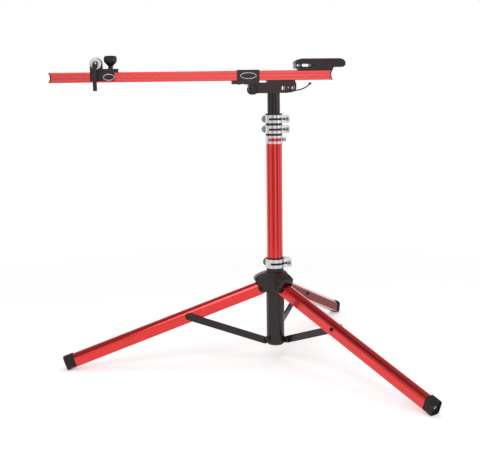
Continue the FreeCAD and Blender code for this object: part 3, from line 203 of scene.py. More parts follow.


# %% [markdown]
# ## Black anodised aluminium
#
# The mast, the struts, the head and the brackets carry the same kind of film dyed black.
# The dye swallows what enters the film, so what is left is the film's own shine: nearly
# black where it is seen square on, and a sharp pale sheen at grazing angles. Along the edges
# a pale grey sheen is painted into the colour. The drawn lines show as slightly greyer
# streaks along the tubes.

# %% Black anodised aluminium
BLACK_DEEP = linear("#2a1b1d")
BLACK_GREY = linear("#37272a")
# The next colour is a painted sheen for the edges.
BLACK_EDGE_SHEEN = linear("#8f8a88")


def black_anodised(name, turn, streak_mm):
    made, tree, shader = new_material(name)
    streaks = add(tree, "TexNoise", Vector=cells(tree, streak_mm, turn), Scale=1.0, Detail=3.0,
                  Roughness=0.6)
    drift = add(tree, "MapRange", inputs=[streaks, 0.25, 0.75, 0.1, 0.9])
    film = add(tree, "Mix", COLOURS, Factor=drift, A=BLACK_DEEP, B=BLACK_GREY)
    rounded, edge = edges(tree, 0.6)
    # Painted sheen: a pale grey is mixed into the colour along the edges.
    edge_highlight = add(tree, "MapRange", inputs=[edge, 0.0, 1.0, 0.0, 0.45])
    edge_toned = add(tree, "Mix", COLOURS, Factor=edge_highlight, A=film, B=BLACK_EDGE_SHEEN)
    drawn = add(tree, "Bump", Strength=0.35, Distance=0.01 * MM, Height=streaks, Normal=rounded)
    gloss = add(tree, "MapRange", inputs=[streaks, 0.3, 0.7, 0.15, 0.22])
    fill(tree, shader, Base_Color=edge_toned, Metallic=0.1, IOR=1.45, Roughness=gloss, Normal=drawn)
    return made


# %% [markdown]
# ## Moulded nylon
#
# The tripod hub, the knob and the sleeves are injection moulded. The mould is spark eroded,
# so the surface is a fine even grain that keeps highlights wide and soft. The grain is
# about a fifth of a millimetre on the real piece and is drawn at one millimetre here, or
# it would vanish at this distance. Along the edges a pale grey highlight is painted into
# the colour.

# %% Moulded nylon
NYLON_DARK = linear("#251719")
NYLON_LIGHT = linear("#342427")
# The next colour is a painted highlight for the edges.
NYLON_EDGE_HIGHLIGHT = linear("#4e4749")


def moulded_nylon(name):
    made, tree, shader = new_material(name)
    grain = add(tree, "TexNoise", Vector=cells(tree, (1.0, 1.0, 1.0)), Scale=1.0, Detail=2.0)
    flow = add(tree, "TexNoise", Vector=cells(tree, (28, 28, 28)), Scale=1.0, Detail=3.0)
    drift = add(tree, "MapRange", inputs=[flow, 0.3, 0.7, 0.2, 0.9])
    body = add(tree, "Mix", COLOURS, Factor=drift, A=NYLON_DARK, B=NYLON_LIGHT)
    rounded, edge = edges(tree, 0.9)
    # Painted highlight: a pale grey is mixed into the colour along the edges.
    edge_highlight = add(tree, "MapRange", inputs=[edge, 0.0, 1.0, 0.0, 0.6])
    edge_toned = add(tree, "Mix", COLOURS, Factor=edge_highlight, A=body, B=NYLON_EDGE_HIGHLIGHT)
    eroded = add(tree, "Bump", Strength=0.5, Distance=0.05 * MM, Height=grain, Normal=rounded)
    gloss = add(tree, "MapRange", inputs=[grain, 0.3, 0.7, 0.26, 0.38])
    fill(tree, shader, Base_Color=edge_toned, Metallic=0.0, IOR=1.45, Roughness=gloss, Normal=eroded)
    return made


# %% [markdown]
# ## Polished aluminium
#
# The quick release collars are turned, then polished. Turning leaves rings round the
# column's axis, which are kept here as very fine changes of roughness along the height.
# The slits get a painted shade: they are mixed nearly black inside, wherever the Ambient
# Occlusion node finds them closed in. The levers are cast
# and only tumbled, which leaves them satin: the same metal, but rougher.

# %% Polished aluminium
SILVER = linear("#f2f1f1")
SILVER_DULL = linear("#d2d1d1")
# The next colour is a painted shade for the slits.
SILVER_SLIT_SHADE = linear("#2a2727")


def polished_aluminium(name, smooth=0.24, rough=0.36):
    made, tree, shader = new_material(name)
    rings = add(tree, "TexNoise", Vector=cells(tree, (60, 60, 0.7)), Scale=1.0, Detail=3.0)
    drift = add(tree, "MapRange", inputs=[rings, 0.25, 0.75, 0.0, 1.0])
    bright = add(tree, "Mix", COLOURS, Factor=drift, A=SILVER_DULL, B=SILVER)
    # Painted shade: the colour turns nearly black inside the slits, where the Ambient Occlusion node finds them
    # closed in.
    open_air = add(tree, "AmbientOcclusion", {"samples": 6}, output="AO", Distance=9 * MM)
    slit_shade = add(tree, "MapRange", inputs=[open_air, 0.15, 0.6, 1.0, 0.0])
    base = add(tree, "Mix", COLOURS, Factor=slit_shade, A=bright, B=SILVER_SLIT_SHADE)
    rounded = edges(tree, 0.6)[0]
    turned = add(tree, "Bump", Strength=0.3, Distance=0.006 * MM, Height=rings, Normal=rounded)
    gloss = add(tree, "MapRange", inputs=[rings, 0.3, 0.7, smooth, rough])
    fill(tree, shader, Base_Color=base, Metallic=1.0, Roughness=gloss, Normal=turned)
    return made


# %% [markdown]
# ## Zinc plated steel
#
# Screws, bolts and pins are bright zinc plated steel: a cool grey metal whose plating is
# slightly cloudy, so its roughness drifts in small patches.

# %% Zinc plated steel
ZINC = linear("#bfc0c2")
ZINC_DULL = linear("#85868a")


def zinc_steel(name):
    made, tree, shader = new_material(name)
    patches = add(tree, "TexNoise", Vector=cells(tree, (3, 3, 3)), Scale=1.0, Detail=3.0)
    drift = add(tree, "MapRange", inputs=[patches, 0.3, 0.7, 0.0, 1.0])
    base = add(tree, "Mix", COLOURS, Factor=drift, A=ZINC_DULL, B=ZINC)
    rounded = edges(tree, 0.4)[0]
    plated = add(tree, "Bump", Strength=0.3, Distance=0.02 * MM, Height=patches, Normal=rounded)
    gloss = add(tree, "MapRange", inputs=[patches, 0.3, 0.7, 0.22, 0.40])
    fill(tree, shader, Base_Color=base, Metallic=1.0, Roughness=gloss, Normal=plated)
    return made


# %% [markdown]
# ## Blackened steel
#
# The bolts of the legs and struts are blackened in a hot salt bath, which grows a thin
# black oxide on the steel and is then oiled. Metal still shines through it on the edges
# of the sockets, where the tool has rubbed.

# %% Blackened steel
OXIDE = linear("#1a1817")
OXIDE_RUBBED = linear("#5e5a58")


def blackened_steel(name):
    made, tree, shader = new_material(name)
    patches = add(tree, "TexNoise", Vector=cells(tree, (2, 2, 2)), Scale=1.0, Detail=3.0)
    rounded, edge = edges(tree, 0.4)
    rubbed = add(tree, "MapRange", inputs=[edge, 0.0, 1.0, 0.05, 0.7])
    edge_toned = add(tree, "Mix", COLOURS, Factor=rubbed, A=OXIDE, B=OXIDE_RUBBED)
    grown = add(tree, "Bump", Strength=0.3, Distance=0.02 * MM, Height=patches, Normal=rounded)
    gloss = add(tree, "MapRange", inputs=[patches, 0.3, 0.7, 0.28, 0.42])
    fill(tree, shader, Base_Color=edge_toned, Metallic=0.6, Roughness=gloss, Normal=grown)
    return made


# %% [markdown]
# ## Rubber
#
# Feet and linings are moulded rubber. It has almost no shine, and handling leaves a pale
# bloom in patches, with a fine pitted skin.

# %% Rubber
RUBBER_DARK = linear("#1a1315")
RUBBER_BLOOM = linear("#2c2427")


def moulded_rubber(name):
    made, tree, shader = new_material(name)
    pits = add(tree, "TexNoise", Vector=cells(tree, (0.8, 0.8, 0.8)), Scale=1.0, Detail=2.0)
    bloom = add(tree, "TexNoise", Vector=cells(tree, (14, 14, 14)), Scale=1.0, Detail=4.0)
    bloomed = add(tree, "MapRange", inputs=[bloom, 0.35, 0.7, 0.0, 1.0])
    body = add(tree, "Mix", COLOURS, Factor=bloomed, A=RUBBER_DARK, B=RUBBER_BLOOM)
    rounded = edges(tree, 0.8)[0]
    pitted = add(tree, "Bump", Strength=0.6, Distance=0.06 * MM, Height=pits, Normal=rounded)
    gloss = add(tree, "MapRange", inputs=[pits, 0.3, 0.7, 0.62, 0.82])
    fill(tree, shader, Base_Color=body, Metallic=0.0, IOR=1.5, Roughness=gloss, Normal=pitted)
    return made


# %% [markdown]
# ## Which way the grain runs
#
# A drawn line follows its piece: up the column, along the beam, and down each leg. A leg's
# direction comes from its fold joint, whose axis is square to it, and from its tilt.

# %% Give every solid its finish
LEG_TILT = math.radians(19.4)
UPRIGHT = (0, math.radians(-90), 0)
LEVEL = (0, 0, 0)
STREAK = (420, 2.6, 2.6)


def leg_turn(number):
    """The turn that lays a pattern's first axis down that leg."""
    axis = joints[f"leg_fold_{number}"]["axis"]
    return (0, LEG_TILT, math.atan2(-axis[0], axis[1]))


finishes = {
    "column_red": red_anodised("column_red_anodised", UPRIGHT, STREAK),
    "beam_red": red_anodised("beam_red_anodised", LEVEL, STREAK, 0.17),
    "black_upright": black_anodised("mast_black_anodised", UPRIGHT, STREAK),
    "black_level": black_anodised("bracket_black_anodised", LEVEL, (40, 3, 3)),
    "black_moulded": moulded_nylon("moulded_nylon"),
    "polished_aluminium": polished_aluminium("polished_aluminium"),
    "tumbled_aluminium": polished_aluminium("tumbled_aluminium", 0.48, 0.60),
    "steel": zinc_steel("zinc_plated_steel"),
    "black_steel": blackened_steel("blackened_steel"),
    "rubber": moulded_rubber("moulded_rubber"),
}
for number in (1, 2, 3):
    finishes[f"leg_red_{number}"] = red_anodised(f"leg_{number}_red_anodised",
                                                 leg_turn(number), STREAK)


def finish_of(name):
    """The finish of a solid, from its slot in the record and the way that its grain runs."""
    slot = slots[name]
    if slot == "red_anodised":
        if name.startswith("leg"):
            return finishes[f"leg_red_{name[-1]}"]
        return finishes["beam_red" if name.startswith("beam") else "column_red"]
    if name.endswith("collar_lever"):
        return finishes["tumbled_aluminium"]
    if slot == "black_anodised":
        upright = name in ("mast_tube", "hub_sleeve")
        return finishes["black_upright" if upright else "black_level"]
    return finishes[slot]


for name, solid in nodes.items():
    solid.data.materials.clear()
    solid.data.materials.append(finish_of(name))
print({name: sum(finish_of(n) is f for n in nodes) for name, f in finishes.items()})

# %% [markdown]
# ## Working by hand
#
# The pieces below are modelled as one would by hand: add a primitive, go into edit mode,
# pick some faces, and inset, extrude or bevel them. Picking by mouse is replaced by a test
# on each face's middle and normal. At the end a piece is given its smooth shading, its
# material and the moving part it rides on.

# %% Helpers for modelling
FACING = 0.9     # a face whose normal is this far along a direction looks that way
SQUARE = 0.99    # and one whose normal is this far along it is square to it


def take(piece):
    """Only this piece is selected and active, in object mode."""
    if bpy.context.object and bpy.context.object.mode != "OBJECT":
        bpy.ops.object.mode_set(mode="OBJECT")
    bpy.ops.object.select_all(action="DESELECT")
    piece.select_set(True)
    bpy.context.view_layer.objects.active = piece


def pick(piece, test):
    """Goes into edit mode with just the faces selected whose middle and normal pass a test."""
    bpy.ops.object.mode_set(mode="EDIT")
    bpy.ops.mesh.select_mode(type="FACE")
    bpy.ops.mesh.select_all(action="DESELECT")
    bpy.ops.object.mode_set(mode="OBJECT")
    for face in piece.data.polygons:
        face.select = test(face.center, face.normal)
    bpy.ops.object.mode_set(mode="EDIT")


def turned_blank(name, sides, radius, high, turn, place):
    """The cylinder that a turned piece starts from, with its place and turn put in its mesh."""
    bpy.ops.object.select_all(action="DESELECT")
    bpy.ops.mesh.primitive_cylinder_add(vertices=sides, radius=radius, depth=high,
                                        rotation=turn, location=place)
    piece = bpy.context.object
    piece.name = piece.data.name = name
    bpy.ops.object.transform_apply(location=True, rotation=True, scale=True)
    return piece


def step(inset, push):
    """Insets the picked faces and then pushes them along: one step of a turned face."""
    bpy.ops.mesh.inset(thickness=inset)
    bpy.ops.mesh.extrude_region_move(TRANSFORM_OT_translate={"value": push})


def round_over(offset, segments):
    """Bevels the rim of the picked faces."""
    bpy.ops.mesh.bevel(offset=offset, segments=segments, affect="EDGES")
    bpy.ops.object.mode_set(mode="OBJECT")


def done(piece, material, body, smooth_degrees=40):
    """Closes a piece's modelling: its smooth shading, its material and the part it rides on."""
    take(piece)
    bpy.ops.object.shade_smooth_by_angle(angle=math.radians(smooth_degrees))
    piece.data.materials.clear()
    piece.data.materials.append(material)
    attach(piece, body)
    return piece


def middle(name):
    """The middle of a solid's box, and half its size."""
    low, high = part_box(name)
    return (low + high) / 2, (high - low) / 2


# %% [markdown]
# ## Moulded pieces
#
# The hub is one thick moulding, and thick mouldings are designed without sharp corners, so
# that the plastic flows and cools evenly. The rubber boots on the legs are moulded too, and
# rubber can't hold a sharp corner at all. Their solids have the right arms, slots, bores and
# recesses but small edges. A merged copy of each is cut into even cells by the Remesh
# modifier and then relaxed by Smooth, which pulls every corner in over several cells. That
# gives one continuous rounded body, as if it were poured. Bores hardly change, because
# smoothing moves only what is curved more tightly than a cell or two. The hub takes cells
# of two millimetres; a boot has thin walls, so its cells are smaller and it is relaxed less.

# %% Round the moulded pieces
MERGE = 0.01 * MM    # corners this near to each other are one


def merged_copy(name, new_name):
    """A copy of a solid's mesh whose faces share their corners, as an object of its own."""
    piece = nodes[name].copy()
    piece.data = nodes[name].data.copy()
    piece.parent = None
    piece.name = piece.data.name = new_name
    bpy.context.scene.collection.objects.link(piece)
    take(piece)
    bpy.ops.object.mode_set(mode="EDIT")
    bpy.ops.mesh.select_all(action="SELECT")
    bpy.ops.mesh.remove_doubles(threshold=MERGE)
    bpy.ops.object.mode_set(mode="OBJECT")
    return piece


def poured(name, new_name, cell_mm, relax_steps):
    """A rounded copy of a moulded solid."""
    piece = merged_copy(name, new_name)
    cut = piece.modifiers.new("cells", "REMESH")
    cut.mode = "VOXEL"
    cut.voxel_size = cell_mm * MM
    bpy.ops.object.modifier_apply(modifier=cut.name)
    relax = piece.modifiers.new("relax", "SMOOTH")
    relax.factor = 0.5
    relax.iterations = relax_steps
    bpy.ops.object.modifier_apply(modifier=relax.name)
    print(new_name, len(piece.data.polygons), "faces")
    return piece


BOOT_CELL = 0.8      # millimetres
BOOT_RELAX = 30
for number in (1, 2, 3):
    boot = poured(f"foot_{number}", f"foot_boot_{number}", BOOT_CELL, BOOT_RELAX)
    done(boot, finishes["rubber"], f"leg_{number}", 180)
    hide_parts(f"foot_{number}")

# %% [markdown]
# The hub's neck, which the collar squeezes, is thinner than one cell, so it would tear. It
# is cut off the rounded body with Bisect and taken from the merged solid instead. Its cut
# rim is extruded a little way down into the body and bridged shut, and the two are joined.

# %% The hub's neck
HUB_CELL = 2.0       # millimetres
HUB_RELAX = 44
NECK_CUT = (0, 0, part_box("low_collar")[0].z - 9.0 * MM)
NECK_TAIL = 8.0 * MM
casting = poured("tripod_hub", "hub_casting", HUB_CELL, HUB_RELAX)
bpy.ops.object.mode_set(mode="EDIT")
bpy.ops.mesh.select_all(action="SELECT")
bpy.ops.mesh.bisect(plane_co=NECK_CUT, plane_no=(0, 0, 1), use_fill=True, clear_outer=True)
bpy.ops.object.mode_set(mode="OBJECT")
neck = merged_copy("tripod_hub", "hub_neck")
bpy.ops.object.mode_set(mode="EDIT")
bpy.ops.mesh.select_all(action="SELECT")
bpy.ops.mesh.bisect(plane_co=NECK_CUT, plane_no=(0, 0, 1), clear_inner=True)
bpy.ops.mesh.extrude_region_move(TRANSFORM_OT_translate={"value": (0, 0, -NECK_TAIL)})
bpy.ops.mesh.bridge_edge_loops()
bpy.ops.object.mode_set(mode="OBJECT")
take(casting)
neck.select_set(True)
bpy.ops.object.join()
bpy.ops.object.mode_set(mode="EDIT")
bpy.ops.mesh.select_all(action="SELECT")
bpy.ops.mesh.normals_make_consistent(inside=False)
bpy.ops.object.mode_set(mode="OBJECT")
done(casting, finishes["black_moulded"], "hub", 50)
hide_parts("tripod_hub")
print("casting and neck:", len(casting.data.polygons), "faces")

# %% [markdown]
# ## Foot screws
#
# Each rubber boot is open at its end, and a pan head screw in the bottom of that recess
# holds it to the leg. The screw is a cylinder whose top is bevelled to a low dome, then
# inset and pushed in for the driver. Its place comes from the leg's own line: the fold
# joint gives the pivot and the direction, and the boot's furthest vertex gives the end.

# %% Foot screws
SCREW_R = 4.6 * MM
SCREW_HIGH = 3.4 * MM
SCREW_DOME = 1.2 * MM
SOCKET_RIM = 1.5 * MM
SOCKET_DEEP = 1.4 * MM
RECESS = 8.0 * MM    # depth of the boot's open end
NEAR = 0.3 * MM      # a face this near to a piece's axis is its middle face


def foot_screw(number):
    joint = joints[f"leg_fold_{number}"]
    sideways = Vector(joint["axis"])
    outward = Matrix.Rotation(LEG_TILT, 3, sideways) @ sideways.cross(Vector((0, 0, 1)))
    pivot = Vector(joint["pos_m"])
    boot = nodes[f"foot_{number}"]
    end = max((vertex.co - pivot).dot(outward) for vertex in boot.data.vertices)
    seat = pivot + outward * (end - RECESS + SCREW_HIGH / 2)
    screw = turned_blank(f"foot_screw_{number}", 40, SCREW_R, SCREW_HIGH, (0, 0, 0), (0, 0, 0))
    pick(screw, lambda spot, normal: normal.z > FACING)
    round_over(SCREW_DOME, 4)
    pick(screw, lambda spot, normal: normal.z > SQUARE and spot.xy.length < NEAR)
    step(SOCKET_RIM, (0, 0, -SOCKET_DEEP))
    bpy.ops.object.mode_set(mode="OBJECT")
    along = outward.to_track_quat("Z", "Y").to_matrix().to_4x4()
    screw.matrix_world = Matrix.Translation(seat) @ along
    bpy.ops.object.transform_apply(location=True, rotation=True, scale=True)
    return done(screw, finishes["steel"], f"leg_{number}")


screws = [foot_screw(number) for number in (1, 2, 3)]
print([tuple(round(c, 3) for c in screw.data.vertices[0].co) for screw in screws])

# %% [markdown]
# ## Oval plaques
#
# The saddle and the fork clamp each carry a plain oval plaque on both cheeks: a thin black
# disc with a bright rim. It starts as a many sided cylinder squeezed to an oval. Its face
# is inset for the rim, the middle is pushed in, and the faces of the middle are given the
# black finish.

# %% Oval plaques
PLAQUE_LONG = 22.0 * MM       # half its length, on the saddle
PLAQUE_HIGH = 8.5 * MM        # half its height
PLAQUE_THICK = 1.0 * MM
PLAQUE_PROUD = 0.1 * MM       # how far its middle plane stands off the cheek
PLAQUE_RIM = 1.3 * MM
PLAQUE_SUNK = 0.5 * MM
CLAMP_SHARE = 0.68            # the fork clamp has room for a shorter one
CLAMP_PLAQUE_IN = 49 * MM     # from the slider's left end to the plaque's middle


def plaque(name, place, half_long, side, body):
    """One oval plaque on a cheek; side is -1 in front and 1 behind."""
    disc = turned_blank(name, 72, 1.0, PLAQUE_THICK, (math.radians(-90 * side), 0, 0), (0, 0, 0))
    bpy.ops.object.mode_set(mode="EDIT")
    bpy.ops.mesh.select_all(action="SELECT")
    bpy.ops.transform.resize(value=(half_long, 1.0, PLAQUE_HIGH))
    bpy.ops.object.mode_set(mode="OBJECT")
    pick(disc, lambda spot, normal: normal.y * side > FACING)
    step(PLAQUE_RIM, (0, -side * PLAQUE_SUNK, 0))
    bpy.ops.object.mode_set(mode="OBJECT")
    disc.location = place
    bpy.ops.object.transform_apply(location=True, rotation=True, scale=True)
    done(disc, finishes["polished_aluminium"], body)
    disc.data.materials.append(finishes["black_level"])
    inside = 1 - 2 * PLAQUE_RIM / half_long
    for face in disc.data.polygons:
        offset = face.center - place
        flat = abs(face.normal.y) > FACING
        if flat and math.hypot(offset.x / half_long, offset.z / PLAQUE_HIGH) < inside:
            face.material_index = 1


beam_height = middle("beam_rail")[0].z
saddle_x = middle("saddle_clamp")[0].x
slider_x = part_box("clamp_slider")[0].x + CLAMP_PLAQUE_IN
for name, carrier, place_x, share, body in (
        ("saddle_plaque", "saddle_clamp", saddle_x, 1.0, "beam"),
        ("clamp_plaque", "clamp_slider", slider_x, CLAMP_SHARE, "fork_clamp")):
    centre, half = middle(carrier)
    for side, where in ((-1, "front"), (1, "back")):
        cheek = centre.y + side * (half.y + PLAQUE_PROUD)
        plaque(f"{name}_{where}", Vector((place_x, cheek, beam_height)), PLAQUE_LONG * share,
               side, body)
print("plaques at height", round(beam_height, 4))

# %% [markdown]
# ## Nuts of the collars
#
# Each quick release bolt ends in a hexagon nut. A six sided cylinder is the nut's blank.
# The rim of its outer face is bevelled, which is the chamfer that turning leaves on a nut,
# and the middle is inset and pushed in for a socket, whose floor is painted dark as shade.

# %% Nuts of the collars
NUT_R = 6.6 * MM
NUT_HIGH = 3.4 * MM
NUT_PROUD = 0.3 * MM     # past the end of its bolt
NUT_CHAMFER = 0.8 * MM
NUT_RING = 2.4 * MM
NUT_SOCKET = 0.5 * MM    # depth of the socket
NUT_REACH = 0.2 * MM     # the socket's floor is found this far past that depth


def collar_nut(collar, body):
    low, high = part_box(collar + "_bolt")
    front = Vector(((low.x + high.x) / 2, low.y - NUT_PROUD, (low.z + high.z) / 2))
    nut = turned_blank(collar + "_nut", 6, NUT_R, NUT_HIGH, (math.radians(90), 0, 0),
                       front + Vector((0, NUT_HIGH / 2, 0)))
    pick(nut, lambda spot, normal: normal.y < -FACING)
    round_over(NUT_CHAMFER, 3)
    pick(nut, lambda spot, normal: normal.y < -SQUARE and (spot - front).length < NEAR)
    step(NUT_RING, (0, NUT_SOCKET, 0))
    bpy.ops.object.mode_set(mode="OBJECT")
    done(nut, finishes["steel"], body, 30)
    # Painted shade: the socket's floor takes the black finish.
    nut.data.materials.append(finishes["black_steel"])
    for face in nut.data.polygons:
        if face.normal.y < -SQUARE and (face.center - front).length < NUT_SOCKET + NUT_REACH:
            face.material_index = 1


for collar, body in (("low_collar", "hub"), ("mid_collar", "column"), ("top_collar", "swivel")):
    collar_nut(collar, body)
print("nuts added")

# %% [markdown]
# ## Eye of the skewer
#
# The skewer's rod ends in an eye, and the lever's cross pin goes through it. The eye is a
# bright drop forging that shows between the two cheeks of the black lever. It is a short
# cylinder along the pin, and both its rims are bevelled in five steps, which leaves it
# nearly round. It belongs to the rod and not to the lever: the lever turns round it, so it
# is kept narrower than the slot and within the slot's depth.

# %% Eye of the skewer
EYE_R = 5.3 * MM
EYE_WIDE = 4.4 * MM
EYE_ROUND = 1.7 * MM
eye = turned_blank("skewer_eye", 48, EYE_R, EYE_WIDE, (0, math.radians(90), 0),
                   Vector(joints["skewer_swing"]["pos_m"]))
pick(eye, lambda spot, normal: abs(normal.x) > FACING)
round_over(EYE_ROUND, 5)
done(eye, finishes["polished_aluminium"], "fork_clamp")
print("eye:", len(eye.data.polygons), "faces")

# %% [markdown]
# ## Hinge caps
#
# The beam's hinge pin is closed on both sides by a turned cap. The solid has a plain disc;
# here it gets the face that such a cap is turned with: a raised rim, a sunk ring, and a
# flat middle with a pin hole.

# %% Hinge caps
CAP_MARGIN = 0.8 * MM      # the cap is this much smaller than the pin's disc
CAP_PROUD = 1.2 * MM
CAP_RIM = (1.6 * MM, -0.9 * MM)       # each step: how wide, and how far out
CAP_LEDGE = (1.4 * MM, 0.6 * MM)
CAP_HOLE_R = 2.0 * MM
CAP_HOLE_DEEP = 0.8 * MM
CAP_SOFT = 0.3 * MM


def hinge_cap(side, where):
    centre, half = middle("hinge_pin")
    radius = half.z - CAP_MARGIN
    cap = turned_blank(f"hinge_cap_{where}", 64, radius, 2 * CAP_PROUD,
                       (math.radians(-90 * side), 0, 0), centre + Vector((0, side * half.y, 0)))
    pick(cap, lambda spot, normal: normal.y * side > FACING)
    flat = radius - CAP_RIM[0] - CAP_LEDGE[0] - CAP_HOLE_R
    for inset, out in (CAP_RIM, CAP_LEDGE, (flat, -CAP_HOLE_DEEP)):
        step(inset, (0, side * out, 0))
    bpy.ops.object.mode_set(mode="OBJECT")
    soften = cap.modifiers.new("soften", "BEVEL")
    soften.width = CAP_SOFT
    soften.segments = 2
    bpy.ops.object.modifier_apply(modifier=soften.name)
    return done(cap, finishes["black_level"], "mast")


for side, where in ((-1, "front"), (1, "back")):
    print(hinge_cap(side, where).name)

# %% [markdown]
# ## Floor
#
# The stand is shown on a plain white sweep. The floor answers each kind of ray in its own
# way. The viewer sees white paper that still takes the stand's shadow, and further out it
# fades to pure white, so no horizon shows. The light that bounces from it on to the stand
# stays at a plain level. In reflections only the paper near the stand is there, and past
# its edge the floor lets them through to the room. The mirrored paper is shaded further out
# behind on the right, and that shade is what the third leg shows.

# %% Floor
FLOOR_HALF = 9.0
FLOOR_UNDER = 0.0004                # metres below the lowest point of the stand
SHADOW_REACH = (1.0, 1.9)           # metres from the column over which paper turns pure white
PAPER_REACH = (1.3, 1.8)            # metres from the column over which mirrored paper ends
PAPER_GLOW = 0.4
SHADED_WAY = math.radians(49)       # compass direction in which the paper lies in shade
SHADED_REACH = (0.45, 0.62)         # metres that way over which the mirrored paper darkens
SHADE = 0.25
METRE = (1000, 1000, 1000)
WHITE = linear("#ffffff")
bpy.ops.object.select_all(action="DESELECT")
bpy.ops.mesh.primitive_grid_add(x_subdivisions=4, y_subdivisions=4, size=2 * FLOOR_HALF,
                                location=(0, 0, cad_low.z - FLOOR_UNDER))
floor = bpy.context.object
floor.name = "floor"
sweep = bpy.data.materials.new("white_paper_sweep")
sweep.use_nodes = True
tree = sweep.node_tree
tree.nodes.remove(tree.nodes["Principled BSDF"])
seen = add(tree, "LightPath").node.outputs
here = add(tree, "TexCoord", output="Object")
far = add(tree, "VectorMath", {"operation": "LENGTH"}, [here])

fibres = add(tree, "TexNoise", Vector=cells(tree, (6, 6, 6)), Scale=1.0, Detail=3.0)
tone = add(tree, "Mix", COLOURS, Factor=fibres, A=linear("#fbf8f9"), B=WHITE)
paper = add(tree, "BsdfDiffuse", Color=tone)
glow = add(tree, "Emission", Color=WHITE, Strength=PAPER_GLOW)
lit = add(tree, "AddShader", inputs=[paper, glow])
pure = add(tree, "Emission", Color=WHITE, Strength=1.0)
fade = add(tree, "MapRange", inputs=[far, *SHADOW_REACH, 0.0, 1.0])
viewed = add(tree, "MixShader", inputs=[fade, lit, pure])

across = add(tree, "SeparateXYZ", output="X", Vector=cells(tree, METRE, (0, 0, SHADED_WAY)))
shade = add(tree, "MapRange", inputs=[across, *SHADED_REACH, 1.0, SHADE])
sheen = add(tree, "Emission", Color=WHITE, Strength=shade)
edge = add(tree, "MapRange", inputs=[far, *PAPER_REACH, 0.0, 1.0])
mirrored = add(tree, "MixShader", inputs=[edge, sheen, add(tree, "BsdfTransparent")])

bouncing = add(tree, "BsdfDiffuse", Color=linear("#c9c4c5"))
other = add(tree, "MixShader", inputs=[seen["Is Glossy Ray"], bouncing, mirrored])
both = add(tree, "MixShader", inputs=[seen["Is Camera Ray"], other, viewed])
tree.links.new(both, tree.nodes["Material Output"].inputs["Surface"])
floor.data.materials.append(sweep)

# %% [markdown]
# ## Lamps
#
# A wide soft lamp in front and to the left, well above the stand, is the main light. It
# brightens what faces the viewer and leaves the tops of the legs, which look at the dark
# ceiling behind, deep red. A second one overhead lights the paper, and is kept out of
# reflections so that it draws no white bar on the metal. A small one on the right keeps
# that side from going flat.

# %% Lamps
def lamp(name, place, aim, size, watts):
    """A soft square lamp at a place, turned to a point."""
    light = bpy.data.lights.new(name, "AREA")
    light.size = size
    light.energy = watts
    holder = bpy.data.objects.new(name, light)
    holder.location = place
    holder.rotation_euler = (Vector(aim) - Vector(place)).to_track_quat("-Z", "Y").to_euler()
    bpy.context.scene.collection.objects.link(holder)
    return holder


lamp("front_softbox", (-0.6, -2.3, 2.6), (0, 0, 0.4), 1.4, 24)
lamp("top_softbox", (0.1, 0.3, 2.9), (0, 0, 0.2), 1.8, 12).visible_glossy = False
lamp("right_softbox", (2.3, -1.3, 1.0), (0, 0, 0.5), 0.7, 4)

# %% [markdown]
# ## The room that metal sees
#
# Metal shows the room, so the room is part of the finish. Seen from the column, softboxes
# and the white sweep stand round the stand with darker gaps between them, and above them
# the ceiling is dark. Those gaps are the dark lines that run up a round tube. The room is
# a ramp over the compass direction, measured from the viewer's side, and a second ramp
# darkens it with height. Only reflections see it: the viewer sees plain white, and the
# light that falls on the stand from the room is one even level.

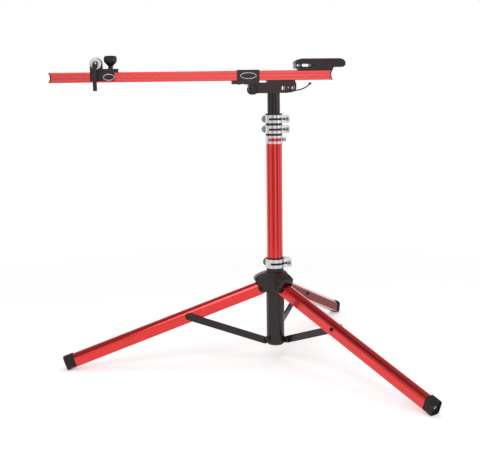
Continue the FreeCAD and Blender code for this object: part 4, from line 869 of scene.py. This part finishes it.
# %% World
ROUND = ((-180, 1.0), (-112, 1.0), (-84, 0.28), (-62, 1.1), (-40, 0.75), (-18, 0.30),
         (0, 0.65), (18, 1.2), (43, 0.25), (71, 1.05), (86, 0.6), (112, 1.0),
         (125, 1.0), (134, 0.3), (146, 0.3), (155, 1.0), (180, 1.0))
CEILING = (0.36, 0.70)        # where the ceiling's dark begins and ends, as a sine
CEILING_DARK = 0.38
FILL = 0.42
VIEWER = math.radians(-99.3)  # compass direction of the viewer, from the column
world = bpy.data.worlds.new("studio")
bpy.context.scene.world = world
world.use_nodes = True
tree = world.node_tree
background = tree.nodes["Background"]
background.inputs["Color"].default_value = WHITE
faced = add(tree, "Mapping", {"vector_type": "POINT"}, Rotation=(0, 0, -VIEWER),
            Vector=add(tree, "TexCoord", output="Generated"))
toward = add(tree, "SeparateXYZ", Vector=faced).node.outputs
compass = add(tree, "Math", {"operation": "ARCTAN2"}, [toward["Y"], toward["X"]])
turn = add(tree, "MapRange", inputs=[compass, -math.pi, math.pi, 0.0, 1.0])
ramp = add(tree, "ValToRGB", Fac=turn)
ramp.node.color_ramp.interpolation = "EASE"
stops = ramp.node.color_ramp.elements
for degrees, level in ROUND:
    whole = (degrees + 180) / 360
    stop = {0: stops[0], 1: stops[-1]}.get(whole) or stops.new(whole)
    stop.color = (level, level, level, 1.0)
height = add(tree, "MapRange", inputs=[toward["Z"], *CEILING, 1.0, CEILING_DARK])
room = add(tree, "Math", {"operation": "MULTIPLY"}, [ramp, height])
seen = add(tree, "LightPath").node.outputs
lit = add(tree, "Mix", {"data_type": "FLOAT"}, Factor=seen["Is Glossy Ray"], A=FILL, B=room)
direct = add(tree, "Math", {"operation": "MAXIMUM"},
             [seen["Is Camera Ray"], seen["Is Transmission Ray"]])
strength = add(tree, "Mix", {"data_type": "FLOAT"}, Factor=direct, A=lit, B=1.0)
tree.links.new(strength, background.inputs["Strength"])

# %% [markdown]
# ## Camera
#
# The stand is seen from the front, a little to the left of the column and slightly from
# above, with a long lens. The camera leans by under a degree, as a hand-levelled one does.

# %% Camera
LENS_MM = 66.9
SENSOR_MM = 36.0
CAMERA_PLACE = (-0.401, -2.444, 0.757)
LOOK_RIGHT = math.radians(7.07)
LOOK_DOWN = math.radians(8.45)
LEAN = math.radians(0.8)
camera_data = bpy.data.cameras.new("camera")
camera_data.lens = LENS_MM
camera_data.sensor_width = SENSOR_MM
camera = bpy.data.objects.new("camera", camera_data)
level = Matrix.Rotation(-LOOK_RIGHT, 4, "Z") @ Matrix.Rotation(math.pi / 2 - LOOK_DOWN, 4, "X")
camera.matrix_world = Matrix.Translation(CAMERA_PLACE) @ level @ Matrix.Rotation(-LEAN, 4, "Z")
bpy.context.scene.collection.objects.link(camera)
bpy.context.scene.camera = camera
bpy.context.scene.view_settings.view_transform = "Standard"
print("camera at", CAMERA_PLACE, "lens", LENS_MM, "mm")
